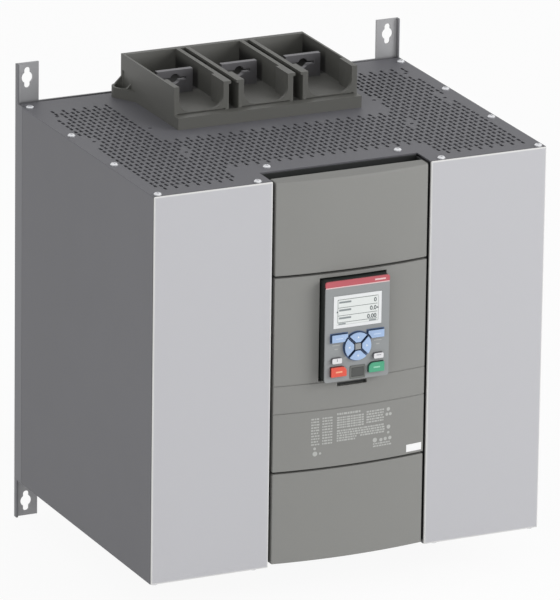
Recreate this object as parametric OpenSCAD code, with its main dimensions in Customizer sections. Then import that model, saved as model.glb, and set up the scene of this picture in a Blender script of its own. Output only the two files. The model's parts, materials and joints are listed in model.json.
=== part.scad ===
// Three-phase soft starter in a wall-mounted sheet-metal case.
// +X is the viewer's right, +Y points back into the wall and +Z is up.
// The origin lies on the wall, midway between the four keyholes.

/* [Case] */
// Width over the side panels
case_w = 435; // [415:1:460]
// Height over the top and bottom covers
case_h = 409; // [400:1:440]
// Depth from the wall to the face of the front panels
case_d = 347; // [343:1:365]
// Thickness of the folded sheet
sheet_t = 1.5; // [1:0.1:2]
// Thickness of the front panels
panel_t = 2; // [1.5:0.1:2.5]
// Width of the returns that take the screws
fold_w = 14; // [13:0.5:16]
// Depth of the returns beside the control bay
bay_return_d = 31; // [30:0.5:33]
// Seam between neighbouring sheets
seam = 0.5; // [0.3:0.1:0.8]
// Distance from the wall to the rear edge of the top and bottom covers
cover_rear_d = 7; // [5:0.5:9]

/* [Mounting frame] */
// Thickness of the back plate and its side rails
frame_t = 2; // [1.5:0.1:2.5]
// Depth of the side rails
rail_d = 18; // [16:1:20]
// Height of the ears above and below the case
ear_h = 42; // [40:1:46]
// Width of an ear
ear_w = 25.4; // [24:0.2:28]
// Depth of the folded edge beside each ear
ear_lip = 6; // [5:0.5:9]
// Distance from the side of the case to a keyhole's centre
key_in = 12.5; // [12:0.5:14]
// Distance from the case's edge out to a keyhole's centre
key_rise = 26; // [25:0.5:28]
// Diameter of a keyhole's round middle
key_d = 12.2; // [11:0.1:13]
// Width of a keyhole's slot
slot_w = 6.4; // [6:0.1:7]
// Length of a keyhole's slot, end to end
slot_len = 22; // [20:0.5:24]

/* [Perforation] */
// Distance between neighbouring columns of slots
perf_dx = 8.7; // [8.7:0.1:12]
// Distance between slots in one column
perf_dy = 15; // [15:0.5:20]
// Width of a slot
perf_w = 3.6; // [2.5:0.1:4.5]
// Length of a slot
perf_l = 10.4; // [7:0.1:11]
// Bare strip along the sides
perf_side = 15; // [14:0.5:25]
// Bare strip along the front
perf_front = 21; // [20:1:30]
// Bare strip along the rear
perf_rear = 35; // [30:1:50]
// Bare strip around the notch and the shroud
perf_clear = 24; // [22:1:35]

/* [Control bay] */
// Width between the two front panels
bay_w = 175.6; // [174:0.2:180]
// Gap between a front panel and the plastic covers
bay_gap = 3.5; // [3:0.1:4.5]
// Depth of the notch in the top and bottom covers
notch_d = 33; // [32:0.5:35]
// How far the covers bow out of the panels' plane
bow = 6.5; // [4:0.5:9]
// Wall of the plastic covers
shell_t = 2.4; // [1.8:0.1:2.8]
// Depth of the covers' sides behind the panels' plane
shell_d = 15; // [13:0.5:17]
// Height of the lower seam above the bottom of the case
seam_low = 100.2; // [95:0.5:102]
// Height of the upper seam above the bottom of the case
seam_high = 308; // [307:0.5:312]
// Width of the seams between the covers
cover_seam = 2; // [1.5:0.1:2.5]
// Height that the column of covers stays short of the case at each end
cover_short = 1.4; // [1:0.1:3]
// Wall of the black bay tray
tray_t = 2.2; // [1.8:0.1:2.6]
// Depth of the tray's front edge behind the panels' plane
tray_front_d = 6; // [5:0.5:8]
// Thickness of the tray's screw tongues
tongue_t = 3; // [2.5:0.1:4]

/* [Keypad] */
// Width of the keypad
pad_w = 71.2; // [70:0.2:72]
// Height of the keypad
pad_h = 106.4; // [105:0.2:107]
// Depth of the keypad
pad_d = 24.4; // [23:0.2:25]
// How far the keypad's face stands out of the panels' plane
pad_out = 16.2; // [15:0.2:17]
// Height of the keypad's centre above the bottom of the case
pad_up = 248.4; // [247:0.2:249]
// Wall of the keypad housing
pad_t = 1.8; // [1.5:0.1:2.2]
// Thickness of the keypad's face
face_t = 1.6; // [1.4:0.1:2]
// Corner radius of the keypad
pad_r = 2.4; // [1.5:0.1:4]
// Height of the coloured strip over the face
strip_h = 7.2; // [6:0.2:8]
// Gap between the keypad and its pocket
pocket_gap = 1.4; // [1:0.1:1.6]
// Width of the display window
disp_w = 53.2; // [50:0.2:55]
// Height of the display window
disp_h = 34; // [32:0.2:35]
// Height of the display above the keypad's centre
disp_up = 20.2; // [20:0.1:20.5]
// Frame of the display around its glass
disp_rim = 3.2; // [2.5:0.1:4]

/* [Keys] */
// How far the keys stand proud of the face
key_proud = 3.4; // [2:0.1:3.5]
// Travel of a key
key_travel = 1; // [0.8:0.1:1.2]
// Gap around a key in the face
key_gap = 0.3; // [0.2:0.05:0.4]
// Flange behind the face that keeps a key in
key_flange = 0.8; // [0.6:0.1:0.9]
// Thickness of that flange
flange_t = 1.2; // [1:0.1:1.4]
// Radius of the navigation pad
nav_r = 14.6; // [14:0.1:15]
// Gap between two neighbouring navigation keys
nav_gap = 2.8; // [2.7:0.1:3.2]
// Half width of the square middle of the navigation pad
nav_mid = 4.2; // [3.8:0.1:4.6]
// Width of a soft key
soft_w = 17.6; // [16:0.2:18]
// Height of a soft key
soft_h = 8; // [7:0.2:8]
// Width of the two small keys
small_w = 10.8; // [10:0.2:11]
// Height of the two small keys
small_h = 5.6; // [5:0.2:5.8]
// Width of the start and stop keys
run_w = 17.2; // [16:0.2:17.4]
// Height of the start and stop keys
run_h = 10.2; // [9.6:0.2:10.4]
// Width of the port's frame
port_w = 17; // [16:0.2:17.2]
// Height of the port's frame
port_h = 14; // [13.6:0.2:14.2]
// Thickness of the port's flap
flap_t = 1.6; // [1.4:0.1:1.8]
// Radius of the flap's hinge pins
flap_pin_r = 0.5; // [0.4:0.05:0.55]

/* [Terminal shrouds] */
// Distance between neighbouring cells
cell_dx = 72.4; // [71:0.2:74]
// Width of a cell's front opening
cell_w = 49.5; // [47:0.5:51]
// Thickness of the posts beside the opening
post_t = 6; // [5:0.2:6.5]
// Wall of the cells behind the posts
cell_t = 2.4; // [2:0.1:3]
// Width of the lip over the gap between two cells
lip_w = 2.4; // [1.8:0.1:3]
// Thickness of that lip
lip_t = 3; // [2:0.1:4]
// Depth of the posts
post_d = 30; // [26:1:34]
// Depth of the cells from the posts' face to the rear
cell_d = 132; // [126:1:136]
// Distance from the wall to the rear of the shroud
shroud_rear = 9; // [7.5:0.5:11]
// Rear wall of the shroud
shroud_rear_t = 6; // [4:0.5:8]
// Height of the shroud over the case
shroud_h = 42; // [40:0.5:43]
// Height of the cell floor over the case
floor_h = 14.4; // [14:0.2:15]
// Radius of the opening's lower corners
cell_r = 13; // [10:0.5:15]
// Height of the bar in front of the posts
bar_h = 12.4; // [12:0.2:12.6]
// Depth of the bar in front of the posts
bar_d = 11.4; // [10:0.2:13]
// Radius of the lug at each rear corner
lug_r = 11.5; // [11:0.5:13]
// Height of the lug's rim
lug_h = 11; // [10:0.5:12]
// Thickness of the lug's floor
lug_floor = 5; // [4:0.5:6]

/* [Busbars] */
// Width of the bars
bar_w = 40; // [38:1:42]
// Thickness of the bars
bar_t = 6; // [5:0.5:7]
// Distance from the wall to the rear face of the bars
bar_rear = 70; // [68:0.5:72]
// Distance from the bar's end to the end of the shroud
bar_short = 3; // [2:0.5:4]
// Distance from the bar's end to its hole
bar_hole_in = 9.5; // [9:0.5:12]
// Diameter of the hole
bar_hole_d = 10.5; // [9:0.1:11]
// Length of the keyed slot through the hole
bar_key_l = 25; // [20:0.5:27]
// Height of the keyed slot
bar_key_h = 3; // [2:0.1:4]

/* [Power stack] */
// Room beside the outer heat sinks, both sides together
side_room = 36; // [34:0.5:42]
// Gap between neighbouring heat sinks
sink_gap = 15; // [14:1:20]
// Height of a heat sink
sink_h = 210; // [200:1:216]
// Thickness of a heat sink's base
sink_base = 12; // [10:0.5:14]
// Overhang of the base beyond the fins where a bar is bolted on
sink_tail = 30; // [28:1:32]
// Depth of the front fins
front_fin_d = 90; // [80:1:95]
// Thickness of a fin
fin_t = 2.5; // [2:0.1:3]
// Number of fins on a heat sink
fin_n = 9; // [7:1:11]
// Flange of the base beside the fins
fin_side = 14; // [13:0.5:15]
// Share of a heat sink's width that a thyristor disc takes
disc_share = 0.63; // [0.58:0.01:0.65]
// Thickness of a thyristor disc
disc_t = 26; // [24:0.5:28]
// Distance between the two discs of a phase
disc_dz = 110; // [100:1:116]
// Diameter of the clamping bolts
clamp_d = 8; // [6:0.5:8]

/* [Fans] */
// Gap between neighbouring fan frames
fan_gap = 14; // [13:1:17]
// Height of a fan frame
fan_h = 38; // [34:1:40]
// Distance of the fans' axes behind the panels' plane
fan_back = 122; // [116:1:126]
// Thinnest wall of a fan frame around its air way
fan_wall = 3.5; // [3:0.1:5]
// Clearance of the blade tips
tip_gap = 1.5; // [1:0.1:2]
// Share of the air way's radius that the hub takes
hub_share = 0.43; // [0.38:0.01:0.46]
// Radius of the shaft
shaft_r = 2; // [1.5:0.1:2.5]
// Number of blades
blade_n = 7; // [5:1:9]
// Running clearance of the shaft and the pins
run_gap = 0.05; // [0.03:0.01:0.08]

/* [Hidden] */

// Overrun of every cut, and the small gap of a piece that only rests beside another
over = 1;
near = 0.3;

// Smoothness of small rounds, of large rounds and of the bowed covers
fine = 32;
rounder = 64;
bowed = 720;

half_w = case_w / 2;
half_h = case_h / 2;
phase_dx = (case_w - side_room) / 3;
sink_w = phase_dx - sink_gap;
disc_d = disc_share * sink_w;
fan_w = phase_dx - fan_gap;
fan_r = fan_w / 2 - fan_wall;
hub_r = hub_share * fan_r;
top_under = half_h - sheet_t;
fold_z = top_under - sheet_t;

// Depth behind the panels' plane and height above the bottom, as places in the frame
function back(d) = -case_d + d;
function up(h) = -half_h + h;

// Screws of the top and bottom covers
screw_in = 6.5;
screw_rear_in = 15.5;
screw_r = 2;
screw_len = 8;
head_r = 4;
head_h = 2;
cross_w = 1;
cross_l = 4.4;
cross_d = 1.2;
tongue_d = 24;
screw_x = half_w - screw_in;
bay_screw_x = bay_w / 2 + fold_w;
tongue_x = bay_w / 2 - 2 * fold_w + 2 * screw_in;
tongue_y = back(notch_d + tongue_d - screw_in - tongue_t);
screw_front = back(screw_in);
screw_rear = -cover_rear_d - screw_rear_in;
screw_step = (screw_rear - screw_front) / 3;
SCREWS = concat(
  [for (s = [-1, 1], i = [0:3]) [s * screw_x, screw_front + i * screw_step]],
  [for (s = [-1, 1]) [s * bay_screw_x, screw_front]],
  [for (s = [-1, 1]) [s * tongue_x, tongue_y]]);

cover_w = bay_w - 2 * bay_gap;
bow_r = (cover_w * cover_w / 4 + bow * bow) / (2 * bow);
bow_y = back(-bow) + bow_r;
tray_back = notch_d - near;
board_gap = 4;
board_t = 1.6;
board_w = cover_w - 2 * fold_w;
board_h = case_h - 2 * fold_w;
board_front = tray_back - tray_t - board_gap - board_t;

pad_z = up(pad_up);
pad_y = back(-pad_out);
pad_rear = pad_y + pad_d;
face_h = pad_h - strip_h;
face_rear = pad_y + face_t;
flange_y = face_rear + near / 2;
pad_board_y = flange_y + flange_t + key_travel + near;

cell_half = cell_w / 2 + post_t;
shroud_half = cell_dx + cell_half;
post_y = -shroud_rear - cell_d;
shroud_rear_y = -shroud_rear;
shroud_top = half_h + shroud_h;
lug_in = 8.5;
lug_turn = 20;
lug_x = shroud_half + lug_r - lug_in;
lug_y = shroud_rear_y - lug_r;
flare = 2.3 * lug_r;

bar_y = -bar_rear - bar_t;
bar_end = shroud_top - bar_short;
sink_base_y = bar_y - sink_base;
disc_y = sink_base_y - disc_t;
front_base_y = disc_y - sink_base;
rail_bar_t = 10;
rail_front = -frame_t - rail_bar_t;
sink_half = sink_h / 2;
jog_low = sink_half + sink_tail - bar_t;

module plate_xz(y0, y1) {
  translate([0, y1, 0]) rotate([90, 0, 0]) linear_extrude(y1 - y0) children();
}

module plate_xy(z0, z1) {
  translate([0, 0, z0]) linear_extrude(z1 - z0) children();
}

module block(x0, x1, y0, y1, z0, z1) {
  translate([x0, y0, z0]) cube([x1 - x0, y1 - y0, z1 - z0]);
}

// Rectangle with round corners about its own centre
module round_rect(w, h, r) {
  square([w - 2 * r, h], center = true);
  square([w, h - 2 * r], center = true);
  for (x = [-1, 1], y = [-1, 1])
    translate([x * (w / 2 - r), y * (h / 2 - r)]) circle(r = r, $fn = fine);
}

module rod_y(x, z, r, y0, y1, smooth = fine) {
  translate([x, y0, z]) rotate([-90, 0, 0]) cylinder(r = r, h = y1 - y0, $fn = smooth);
}

module rod_z(x, y, r, z0, z1, smooth = fine) {
  translate([x, y, z0]) cylinder(r = r, h = z1 - z0, $fn = smooth);
}

// Mounting frame

// Keyhole that takes a screw head in the middle and its neck at either end
module keyhole(x, z) {
  neck = (slot_len - slot_w) / 2;
  rod_y(x, z, key_d / 2, -frame_t - over, over);
  for (s = [-1, 1]) rod_y(x, z + s * neck, slot_w / 2, -frame_t - over, over);
  block(x - slot_w / 2, x + slot_w / 2, -frame_t - over, over, z - neck, z + neck);
}

// Side of the frame, deep beside the case and shallow beside the ears, seen along X
module rail_side() {
  translate([-rail_d, -half_h]) square([rail_d, 2 * half_h]);
  translate([-ear_lip, -half_h - ear_h]) square([ear_lip, 2 * (half_h + ear_h)]);
}

module chassis() color([0.42, 0.42, 0.43]) {
  difference() {
    union() {
      block(-half_w, half_w, -frame_t, 0, -half_h, half_h);
      for (s = [-1, 1]) {
        block(s > 0 ? half_w - ear_w : -half_w, s > 0 ? half_w : ear_w - half_w,
          -frame_t, 0, -half_h - ear_h, half_h + ear_h);
        translate([s > 0 ? half_w - frame_t : -half_w, 0, 0])
          rotate([90, 0, 90]) linear_extrude(frame_t) rail_side();
      }
    }
    for (x = [-1, 1], z = [-1, 1]) keyhole(x * (half_w - key_in), z * (half_h + key_rise));
  }
}

rail_bar_h = 20;
rail_bar_z = sink_half * 2 / 3;

module sink_rails() color([0.75, 0.66, 0.42])
  for (s = [-1, 1])
    block(-half_w + ear_w, half_w - ear_w, rail_front, -frame_t,
      s * rail_bar_z - rail_bar_h / 2, s * rail_bar_z + rail_bar_h / 2);

part_d = notch_d + fold_w;
strap_h = 24;
strap_z = sink_half / 2 + strap_h;
strap_in = half_w - frame_t - 2 * sheet_t - 2 * seam;

module tie_straps() color([0.62, 0.62, 0.64])
  for (s = [-1, 1], z = [-1, 1])
    block(s > 0 ? strap_in - frame_t : -strap_in, s > 0 ? strap_in : frame_t - strap_in,
      back(part_d), -frame_t, z * strap_z - strap_h / 2, z * strap_z + strap_h / 2);

module partition() color([0.62, 0.62, 0.64])
  difference() {
    block(frame_t - strap_in, strap_in - frame_t, back(part_d), back(part_d + sheet_t),
      -half_h + 2 * fold_w, half_h - 2 * fold_w);
    for (x = [-1, 0, 1], z = [-1, 1])
      rod_y(x * phase_dx, z * (sink_half + fold_w), fold_w, back(part_d) - over,
        back(part_d + sheet_t) + over);
  }

// Case

joggle_d = 3;

module side_panel(s) {
  front = back(panel_t) + seam;
  rear = -rail_d - seam;
  inner = half_w - frame_t - seam / 2;
  mirror([s > 0 ? 0 : 1, 0, 0]) difference() {
    union() {
      block(half_w - sheet_t, half_w, front, rear, -top_under, top_under);
      for (z = [0, 1]) mirror([0, 0, z])
        block(half_w - fold_w - sheet_t, half_w, front, rear, fold_z, top_under);
      block(inner - sheet_t, half_w - sheet_t + seam / 2, rear - joggle_d, rear,
        -fold_z, fold_z);
      block(inner - sheet_t, inner, rear - joggle_d, -frame_t - seam, -fold_z, fold_z);
    }
    for (p = SCREWS) if (p[0] > bay_screw_x + over)
      rod_z(p[0], p[1], screw_r + run_gap, -half_h, half_h);
  }
}

module side_left() color([0.44, 0.44, 0.46]) side_panel(-1);

module side_right() color([0.44, 0.44, 0.46]) side_panel(1);

function cell_x(i) = (i - 1) * cell_dx;
function phase_x(i) = (i - 1) * phase_dx;

window_over = 6;
bar_window_w = bar_w + window_over;
bar_window_t = bar_t + window_over;

// Outline of a cover with its notch at the front and room for the rails at the rear
function cover_outline() = [
  [-half_w, back(panel_t) + seam], [-bay_w / 2, back(panel_t) + seam],
  [-bay_w / 2, back(notch_d)], [bay_w / 2, back(notch_d)],
  [bay_w / 2, back(panel_t) + seam], [half_w, back(panel_t) + seam],
  [half_w, -rail_d - seam], [half_w - frame_t - seam, -rail_d - seam],
  [half_w - frame_t - seam, -cover_rear_d], [-half_w + frame_t + seam, -cover_rear_d],
  [-half_w + frame_t + seam, -rail_d - seam], [-half_w, -rail_d - seam]];

// True where the cover is perforated
function in_field(x, y) =
  abs(x) < half_w - perf_side
  && y > back(perf_front) && y < -perf_rear
  && !(abs(x) < bay_w / 2 + perf_clear && y < back(notch_d + perf_clear))
  && !(abs(x) < shroud_half + perf_clear && y > post_y - bar_d - perf_clear);

perf_cols = floor((half_w - perf_side) / perf_dx);
perf_rows = floor((case_d - perf_front - perf_rear) / perf_dy);
perf_y0 = back(perf_front) + perf_dy / 2;
function perf_slots() = [
  for (c = [-perf_cols:perf_cols], r = [0:perf_rows])
    let (x = c * perf_dx, y = perf_y0 + (r + (c % 2 == 0 ? 0 : 0.5)) * perf_dy)
      if (in_field(x, y)) [x, y, perf_w, perf_l]];

grille_in = 2;
grille_r = fan_r - grille_in;
grille_dx = 9;
grille_w = 5;
grille_mid = 6;
grille_n = floor(grille_r / grille_dx);

// Grille below each fan, in two rows of slots that end on a circle
function grille_slots() = [
  for (i = [0:2], c = [-grille_n:grille_n], s = [-1, 1])
    let (half = sqrt(grille_r * grille_r - pow(abs(c * grille_dx) + grille_w / 2, 2)),
      l = half - grille_mid / 2)
      if (l > grille_w)
        [phase_x(i) + c * grille_dx, back(fan_back) + s * (half + grille_mid / 2) / 2,
          grille_w, l]];

function bar_windows() = [
  for (i = [0:2]) [cell_x(i), bar_y + bar_t / 2, bar_window_w, bar_window_t]];

// Sheet of one outline, with a four-cornered hole for every place and size in a list
// and a round one for every screw
module cover_sheet(holes) {
  translate([0, 0, top_under]) linear_extrude(sheet_t) difference() {
    polygon(cover_outline());
    for (h = concat(bar_windows(), holes))
      translate([h[0], h[1]]) square([h[2], h[3]], center = true);
    for (p = concat(SCREWS, [[-lug_x, lug_y], [lug_x, lug_y]]))
      translate(p) circle(r = screw_r + run_gap, $fn = fine);
  }
}

module top_cover() color([0.46, 0.46, 0.47]) cover_sheet(perf_slots());

module bottom_cover() color([0.46, 0.46, 0.47]) mirror([0, 0, 1]) cover_sheet(grille_slots());

module front_panel(s) {
  in = bay_w / 2;
  rear = back(panel_t + fold_w);
  mirror([s > 0 ? 0 : 1, 0, 0]) difference() {
    union() {
      block(in, half_w, back(0), back(panel_t), -half_h, half_h);
      block(in, in + sheet_t, back(panel_t), back(bay_return_d), -fold_z, fold_z);
      block(half_w - 2 * sheet_t - seam, half_w - sheet_t - seam, back(panel_t), rear,
        seam - fold_z, fold_z - seam);
      for (z = [0, 1]) mirror([0, 0, z]) {
        block(in, half_w - fold_w - sheet_t - seam, back(panel_t), rear, fold_z, top_under);
        block(in, half_w - fold_w - sheet_t - seam, back(panel_t), back(panel_t) + seam,
          fold_z, top_under);
      }
    }
    for (p = SCREWS) if (p[0] > in && p[0] < half_w - fold_w)
      rod_z(p[0], p[1], screw_r + run_gap, -half_h + sheet_t, half_h - sheet_t);
  }
}

module front_left() color([0.78, 0.79, 0.8]) front_panel(-1);

module front_right() color([0.78, 0.79, 0.8]) front_panel(1);

// Control bay

boss_r = 3.5;
boss_x = board_w / 2 - 2 * boss_r;
boss_z = board_h / 2 - 2 * boss_r;

module bay_tray() color([0.07, 0.07, 0.07]) {
  out = bay_w / 2 - near;
  rear = back(tray_back);
  difference() {
    union() {
      for (s = [0, 1]) mirror([s, 0, 0])
        block(out - tray_t, out, back(tray_front_d), rear, -fold_z, fold_z);
      block(-out, out, rear - tray_t, rear, -fold_z, fold_z);
      for (z = [0, 1]) mirror([0, 0, z])
        block(-tongue_x - 2 * screw_in, tongue_x + 2 * screw_in, rear - tray_t,
          rear + tongue_d, top_under - tongue_t, top_under);
      for (x = [-1, 1], z = [-1, 0, 1])
        rod_y(x * boss_x, z * boss_z, boss_r, rear - tray_t - board_gap, rear);
    }
    for (p = SCREWS) if (abs(p[0]) < bay_w / 2)
      rod_z(p[0], p[1], screw_r + run_gap, -half_h, half_h);
  }
}

module control_board() color([0.1, 0.35, 0.2])
  block(-board_w / 2, board_w / 2, back(board_front), back(board_front + board_t),
    -board_h / 2, board_h / 2);

// Terminal rows, relays and capacitors on the front of the board
part_h = 9;
terminal_w = 112;
terminal_h = 11;
relay_w = 18;
relay_h = 22;
cap_r = 5;

module board_parts() color([0.15, 0.42, 0.25]) {
  face = back(board_front);
  for (z = [-1, 1]) difference() {
    block(-terminal_w / 2, terminal_w / 2, face - part_h, face,
      z * (board_h / 2 - fold_w) - terminal_h / 2, z * (board_h / 2 - fold_w) + terminal_h / 2);
    for (i = [0:terminal_h])
      rod_y((i + 0.5) / (terminal_h + 1) * terminal_w - terminal_w / 2,
        z * (board_h / 2 - fold_w), 2 * cap_r / 5, face - part_h - over, face - part_h / 2);
  }
  for (i = [-1, 0, 1])
    block(i * 2 * relay_w - relay_w / 2, i * 2 * relay_w + relay_w / 2, face - part_h, face,
      up(seam_low) - 2 * relay_h, up(seam_low) - relay_h);
  for (i = [-1, 1])
    rod_y(i * 4 * cap_r, up(seam_high) + 6 * cap_r, cap_r, face - part_h, face);
}

// Region behind the bowed front, as deep as the covers' sides
module bow_section(inset, rear, half) {
  intersection() {
    translate([0, bow_y]) circle(r = bow_r - inset, $fn = bowed);
    translate([-half, back(-bow) - over]) square([2 * half, rear - back(-bow) + over]);
  }
}

leg_h = 12;
leg_in = 10;

// Bowed cover between two heights, on four legs that stand on the floor of the tray
module cover_shell(z0, z1) {
  half = cover_w / 2;
  difference() {
    plate_xy(z0, z1) bow_section(0, back(shell_d), half);
    plate_xy(z0 - over, z1 + over) bow_section(shell_t, back(shell_d) + over, half - shell_t);
  }
  for (s = [0, 1], z = [z0 + leg_in, z1 - leg_in - leg_h]) mirror([s, 0, 0])
    block(half - shell_t, half, back(shell_d) - over, back(tray_back - tray_t), z, z + leg_h);
}

module upper_cover() color([0.55, 0.55, 0.54]) {
  z1 = half_h - cover_short;
  cover_shell(up(seam_high) + cover_seam / 2, z1);
  plate_xy(z1 - shell_t, z1) bow_section(shell_t / 2, back(shell_d), (cover_w - shell_t) / 2);
}

module lower_cover() color([0.53, 0.53, 0.51]) {
  z0 = -half_h + 2 * cover_short;
  cover_shell(z0, up(seam_low) - cover_seam / 2);
  plate_xy(z0, z0 + shell_t) bow_section(shell_t / 2, back(shell_d), (cover_w - shell_t) / 2);
}

pocket_w = pad_w + 2 * pocket_gap;
pocket_h = pad_h + 2 * pocket_gap;
pocket_floor = pad_rear + near;
plug_w = 30;
plug_h = 12;
groove_h = 0.8;
groove_d = 0.6;
groove_high = 192.6;
groove_low = 163;
latch_w = 33;
latch_h = 2.8;
latch_up = 189;

module groove(h) {
  plate_xy(up(h) - groove_h / 2, up(h) + groove_h / 2) difference() {
    bow_section(-over, back(shell_d), cover_w / 2 + over);
    bow_section(groove_d, back(shell_d) + over, cover_w / 2 + 2 * over);
  }
}

module middle_cover() color([0.55, 0.55, 0.54]) {
  wall = pad_t;
  difference() {
    union() {
      cover_shell(up(seam_low) + cover_seam / 2, up(seam_high) - cover_seam / 2);
      block(-pocket_w / 2 - wall, pocket_w / 2 + wall, back(shell_t - bow), pocket_floor + wall,
        pad_z - pocket_h / 2 - wall, pad_z + pocket_h / 2 + wall);
    }
    block(-pocket_w / 2, pocket_w / 2, back(-bow) - over, pocket_floor,
      pad_z - pocket_h / 2, pad_z + pocket_h / 2);
    block(-plug_w / 2, plug_w / 2, pocket_floor - over, pocket_floor + wall + over,
      pad_z - plug_h / 2, pad_z + plug_h / 2);
    block(-latch_w / 2, latch_w / 2, back(-bow) - over, back(0),
      up(latch_up) - latch_h / 2, up(latch_up) + latch_h / 2);
    groove(groove_high);
    groove(groove_low);
  }
}

label_t = 0.25;
label_w = 18;
label_in = 2.3;
label_x1 = cover_w / 2 - label_in;
label_x0 = label_x1 - label_w;
label_low = 103.9;
label_high = 111.7;

module blank_label() color([0.93, 0.93, 0.93])
  plate_xy(up(label_low), up(label_high)) intersection() {
    difference() {
      translate([0, bow_y]) circle(r = bow_r + label_t, $fn = bowed);
      translate([0, bow_y]) circle(r = bow_r, $fn = bowed);
    }
    translate([label_x0, back(-bow)]) square([label_x1 - label_x0, 2 * bow]);
  }

// Keypad

pad_tab = 6;

module pad_housing() color([0.1, 0.12, 0.11])
  difference() {
    translate([0, 0, pad_z]) plate_xz(face_rear, pad_rear) round_rect(pad_w, pad_h, pad_r);
    translate([0, 0, pad_z]) plate_xz(face_rear - over, pad_rear - pad_t)
      round_rect(pad_w - 2 * pad_t, pad_h - 2 * pad_t, pad_r - pad_t / 2);
    block(-plug_w / 2, plug_w / 2, pad_rear - pad_t - over, pad_rear + over,
      pad_z - plug_h / 2, pad_z + plug_h / 2);
  }

module pad_board() color([0.1, 0.35, 0.2])
  block(-pad_w / 2 + pad_t + near, pad_w / 2 - pad_t - near, pad_board_y,
    pad_board_y + board_t, pad_z - pad_h / 2 + pad_t + near, pad_z + pad_h / 2 - pad_t - near);

// Places of the keys, as offsets from the keypad's centre
key_row_in = 6;
soft_in = 6.6;
small_in = 7;
nav_rise = 7.8;
port_low = 0.9;
soft_x = pad_w / 2 - soft_w / 2 - soft_in;
soft_dz = disp_up - disp_h / 2 - soft_h / 2 - key_row_in;
nav_dz = soft_dz - soft_h / 2 + nav_rise - nav_r;
small_x = pad_w / 2 - small_w / 2 - small_in;
small_dz = nav_dz - nav_r + small_h / 2 - over;
run_x = pad_w / 2 - run_w / 2 - key_row_in;
run_dz = -pad_h / 2 + run_h / 2 + key_row_in;
port_x = 1;
port_dz = -pad_h / 2 + port_h / 2 + port_low;

// Soft key on side s, cut back around the navigation pad
soft_clear = 2 * key_flange + near;

module soft_shape(g, s)
  difference() {
    square([soft_w + 2 * g, soft_h + 2 * g], center = true);
    translate([-s * soft_x, nav_dz - soft_dz])
      circle(r = nav_r + soft_clear - g, $fn = rounder);
  }

module small_shape(g) round_rect(small_w + 2 * g, small_h + 2 * g, small_h / 4 + g);

// Key with one large corner at the upper inner side, where s is the key's outer side
module run_shape(g, s) {
  r = run_h / 2;
  difference() {
    square([run_w + 2 * g, run_h + 2 * g], center = true);
    translate([-s * (run_w / 2 - r), run_h / 2 - r]) difference() {
      translate([s > 0 ? -r - g - over : 0, 0]) square([r + g + over, r + g + over]);
      circle(r = r + g, $fn = rounder);
    }
  }
}

// Quarter of the navigation ring on the side of +Y
module nav_shape(g) {
  shift = nav_gap / sqrt(2) - g * sqrt(2);
  far = 2 * nav_r;
  intersection() {
    difference() {
      circle(r = nav_r + g, $fn = rounder);
      square(2 * (nav_mid + key_gap - g), center = true);
    }
    polygon([[0, shift], [far, shift + far], [-far, shift + far]]);
  }
}

module key_body(x, z) {
  translate([x, 0, pad_z + z]) {
    plate_xz(pad_y - key_proud, flange_y + over / 2) children(0);
    plate_xz(flange_y, flange_y + flange_t) children(1);
  }
}

module key_hole(x, z) {
  translate([x, 0, pad_z + z]) plate_xz(pad_y - key_proud - over, face_rear + over) children();
}

port_side = 2;
port_end = 2.5;
pin_l = 1;
flap_w = port_w - 2 * port_side;
flap_h = port_h - 2 * port_end;
flap_out = 0.6;
flap_y = pad_y - flap_out + flap_t / 2;
flap_top = port_dz + flap_h / 2 - flap_t / 2;
port_rim = 0.6;

module pad_face() color([0.55, 0.57, 0.57])
  difference() {
    union() {
      translate([0, 0, pad_z - pad_h / 2 + face_h / 2]) plate_xz(pad_y, face_rear)
        round_rect(pad_w, face_h, pad_r);
      block(-pad_w / 2, pad_w / 2, pad_y, face_rear, pad_z, pad_z - pad_h / 2 + face_h);
      translate([0, 0, pad_z + nav_dz]) plate_xz(pad_y - key_proud + near, pad_y)
        square(2 * (nav_mid - key_flange - near), center = true);
      translate([port_x, 0, pad_z + port_dz]) plate_xz(pad_y - port_rim, pad_y)
        round_rect(port_w, port_h, pad_t);
    }
    translate([0, 0, pad_z + disp_up]) plate_xz(pad_y - over, face_rear + over)
      square([disp_w + 2 * near, disp_h + 2 * near], center = true);
    for (s = [-1, 1]) {
      key_hole(s * soft_x, soft_dz) soft_shape(key_gap, s);
      key_hole(s * small_x, small_dz) small_shape(key_gap);
      key_hole(s * run_x, run_dz) run_shape(key_gap, s);
    }
    for (i = [0:3]) key_hole(0, nav_dz) rotate(90 * i) nav_shape(key_gap);
    translate([port_x, 0, pad_z + port_dz]) plate_xz(pad_y - port_rim - over, face_rear + over)
      square([flap_w + 2 * key_gap, flap_h + 2 * key_gap], center = true);
    for (s = [-1, 1])
      translate([port_x + s * (flap_w / 2 + key_gap), flap_y, pad_z + flap_top])
        rotate([0, 90, 0]) cylinder(r = flap_pin_r + run_gap, h = 2 * (pin_l + near),
          center = true, $fn = fine);
  }

module pad_strip() color([0.8, 0.36, 0.4])
  translate([0, 0, pad_z + pad_h / 2 - strip_h / 2]) difference() {
    plate_xz(pad_y, face_rear) round_rect(pad_w, strip_h, pad_r);
    plate_xz(pad_y - over, pad_y) square([pad_w + over, strip_h + over], center = true);
  }

glass_w = disp_w - 2 * disp_rim;
glass_h = disp_h - 2 * disp_rim;
disp_proud = 0.4;

module display_frame() color([0.92, 0.93, 0.94])
  translate([0, 0, pad_z + disp_up]) difference() {
    plate_xz(pad_y - disp_proud, face_rear) square([disp_w, disp_h], center = true);
    plate_xz(pad_y - disp_proud - over, face_rear + over) round_rect(glass_w, glass_h, pad_t);
  }

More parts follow.
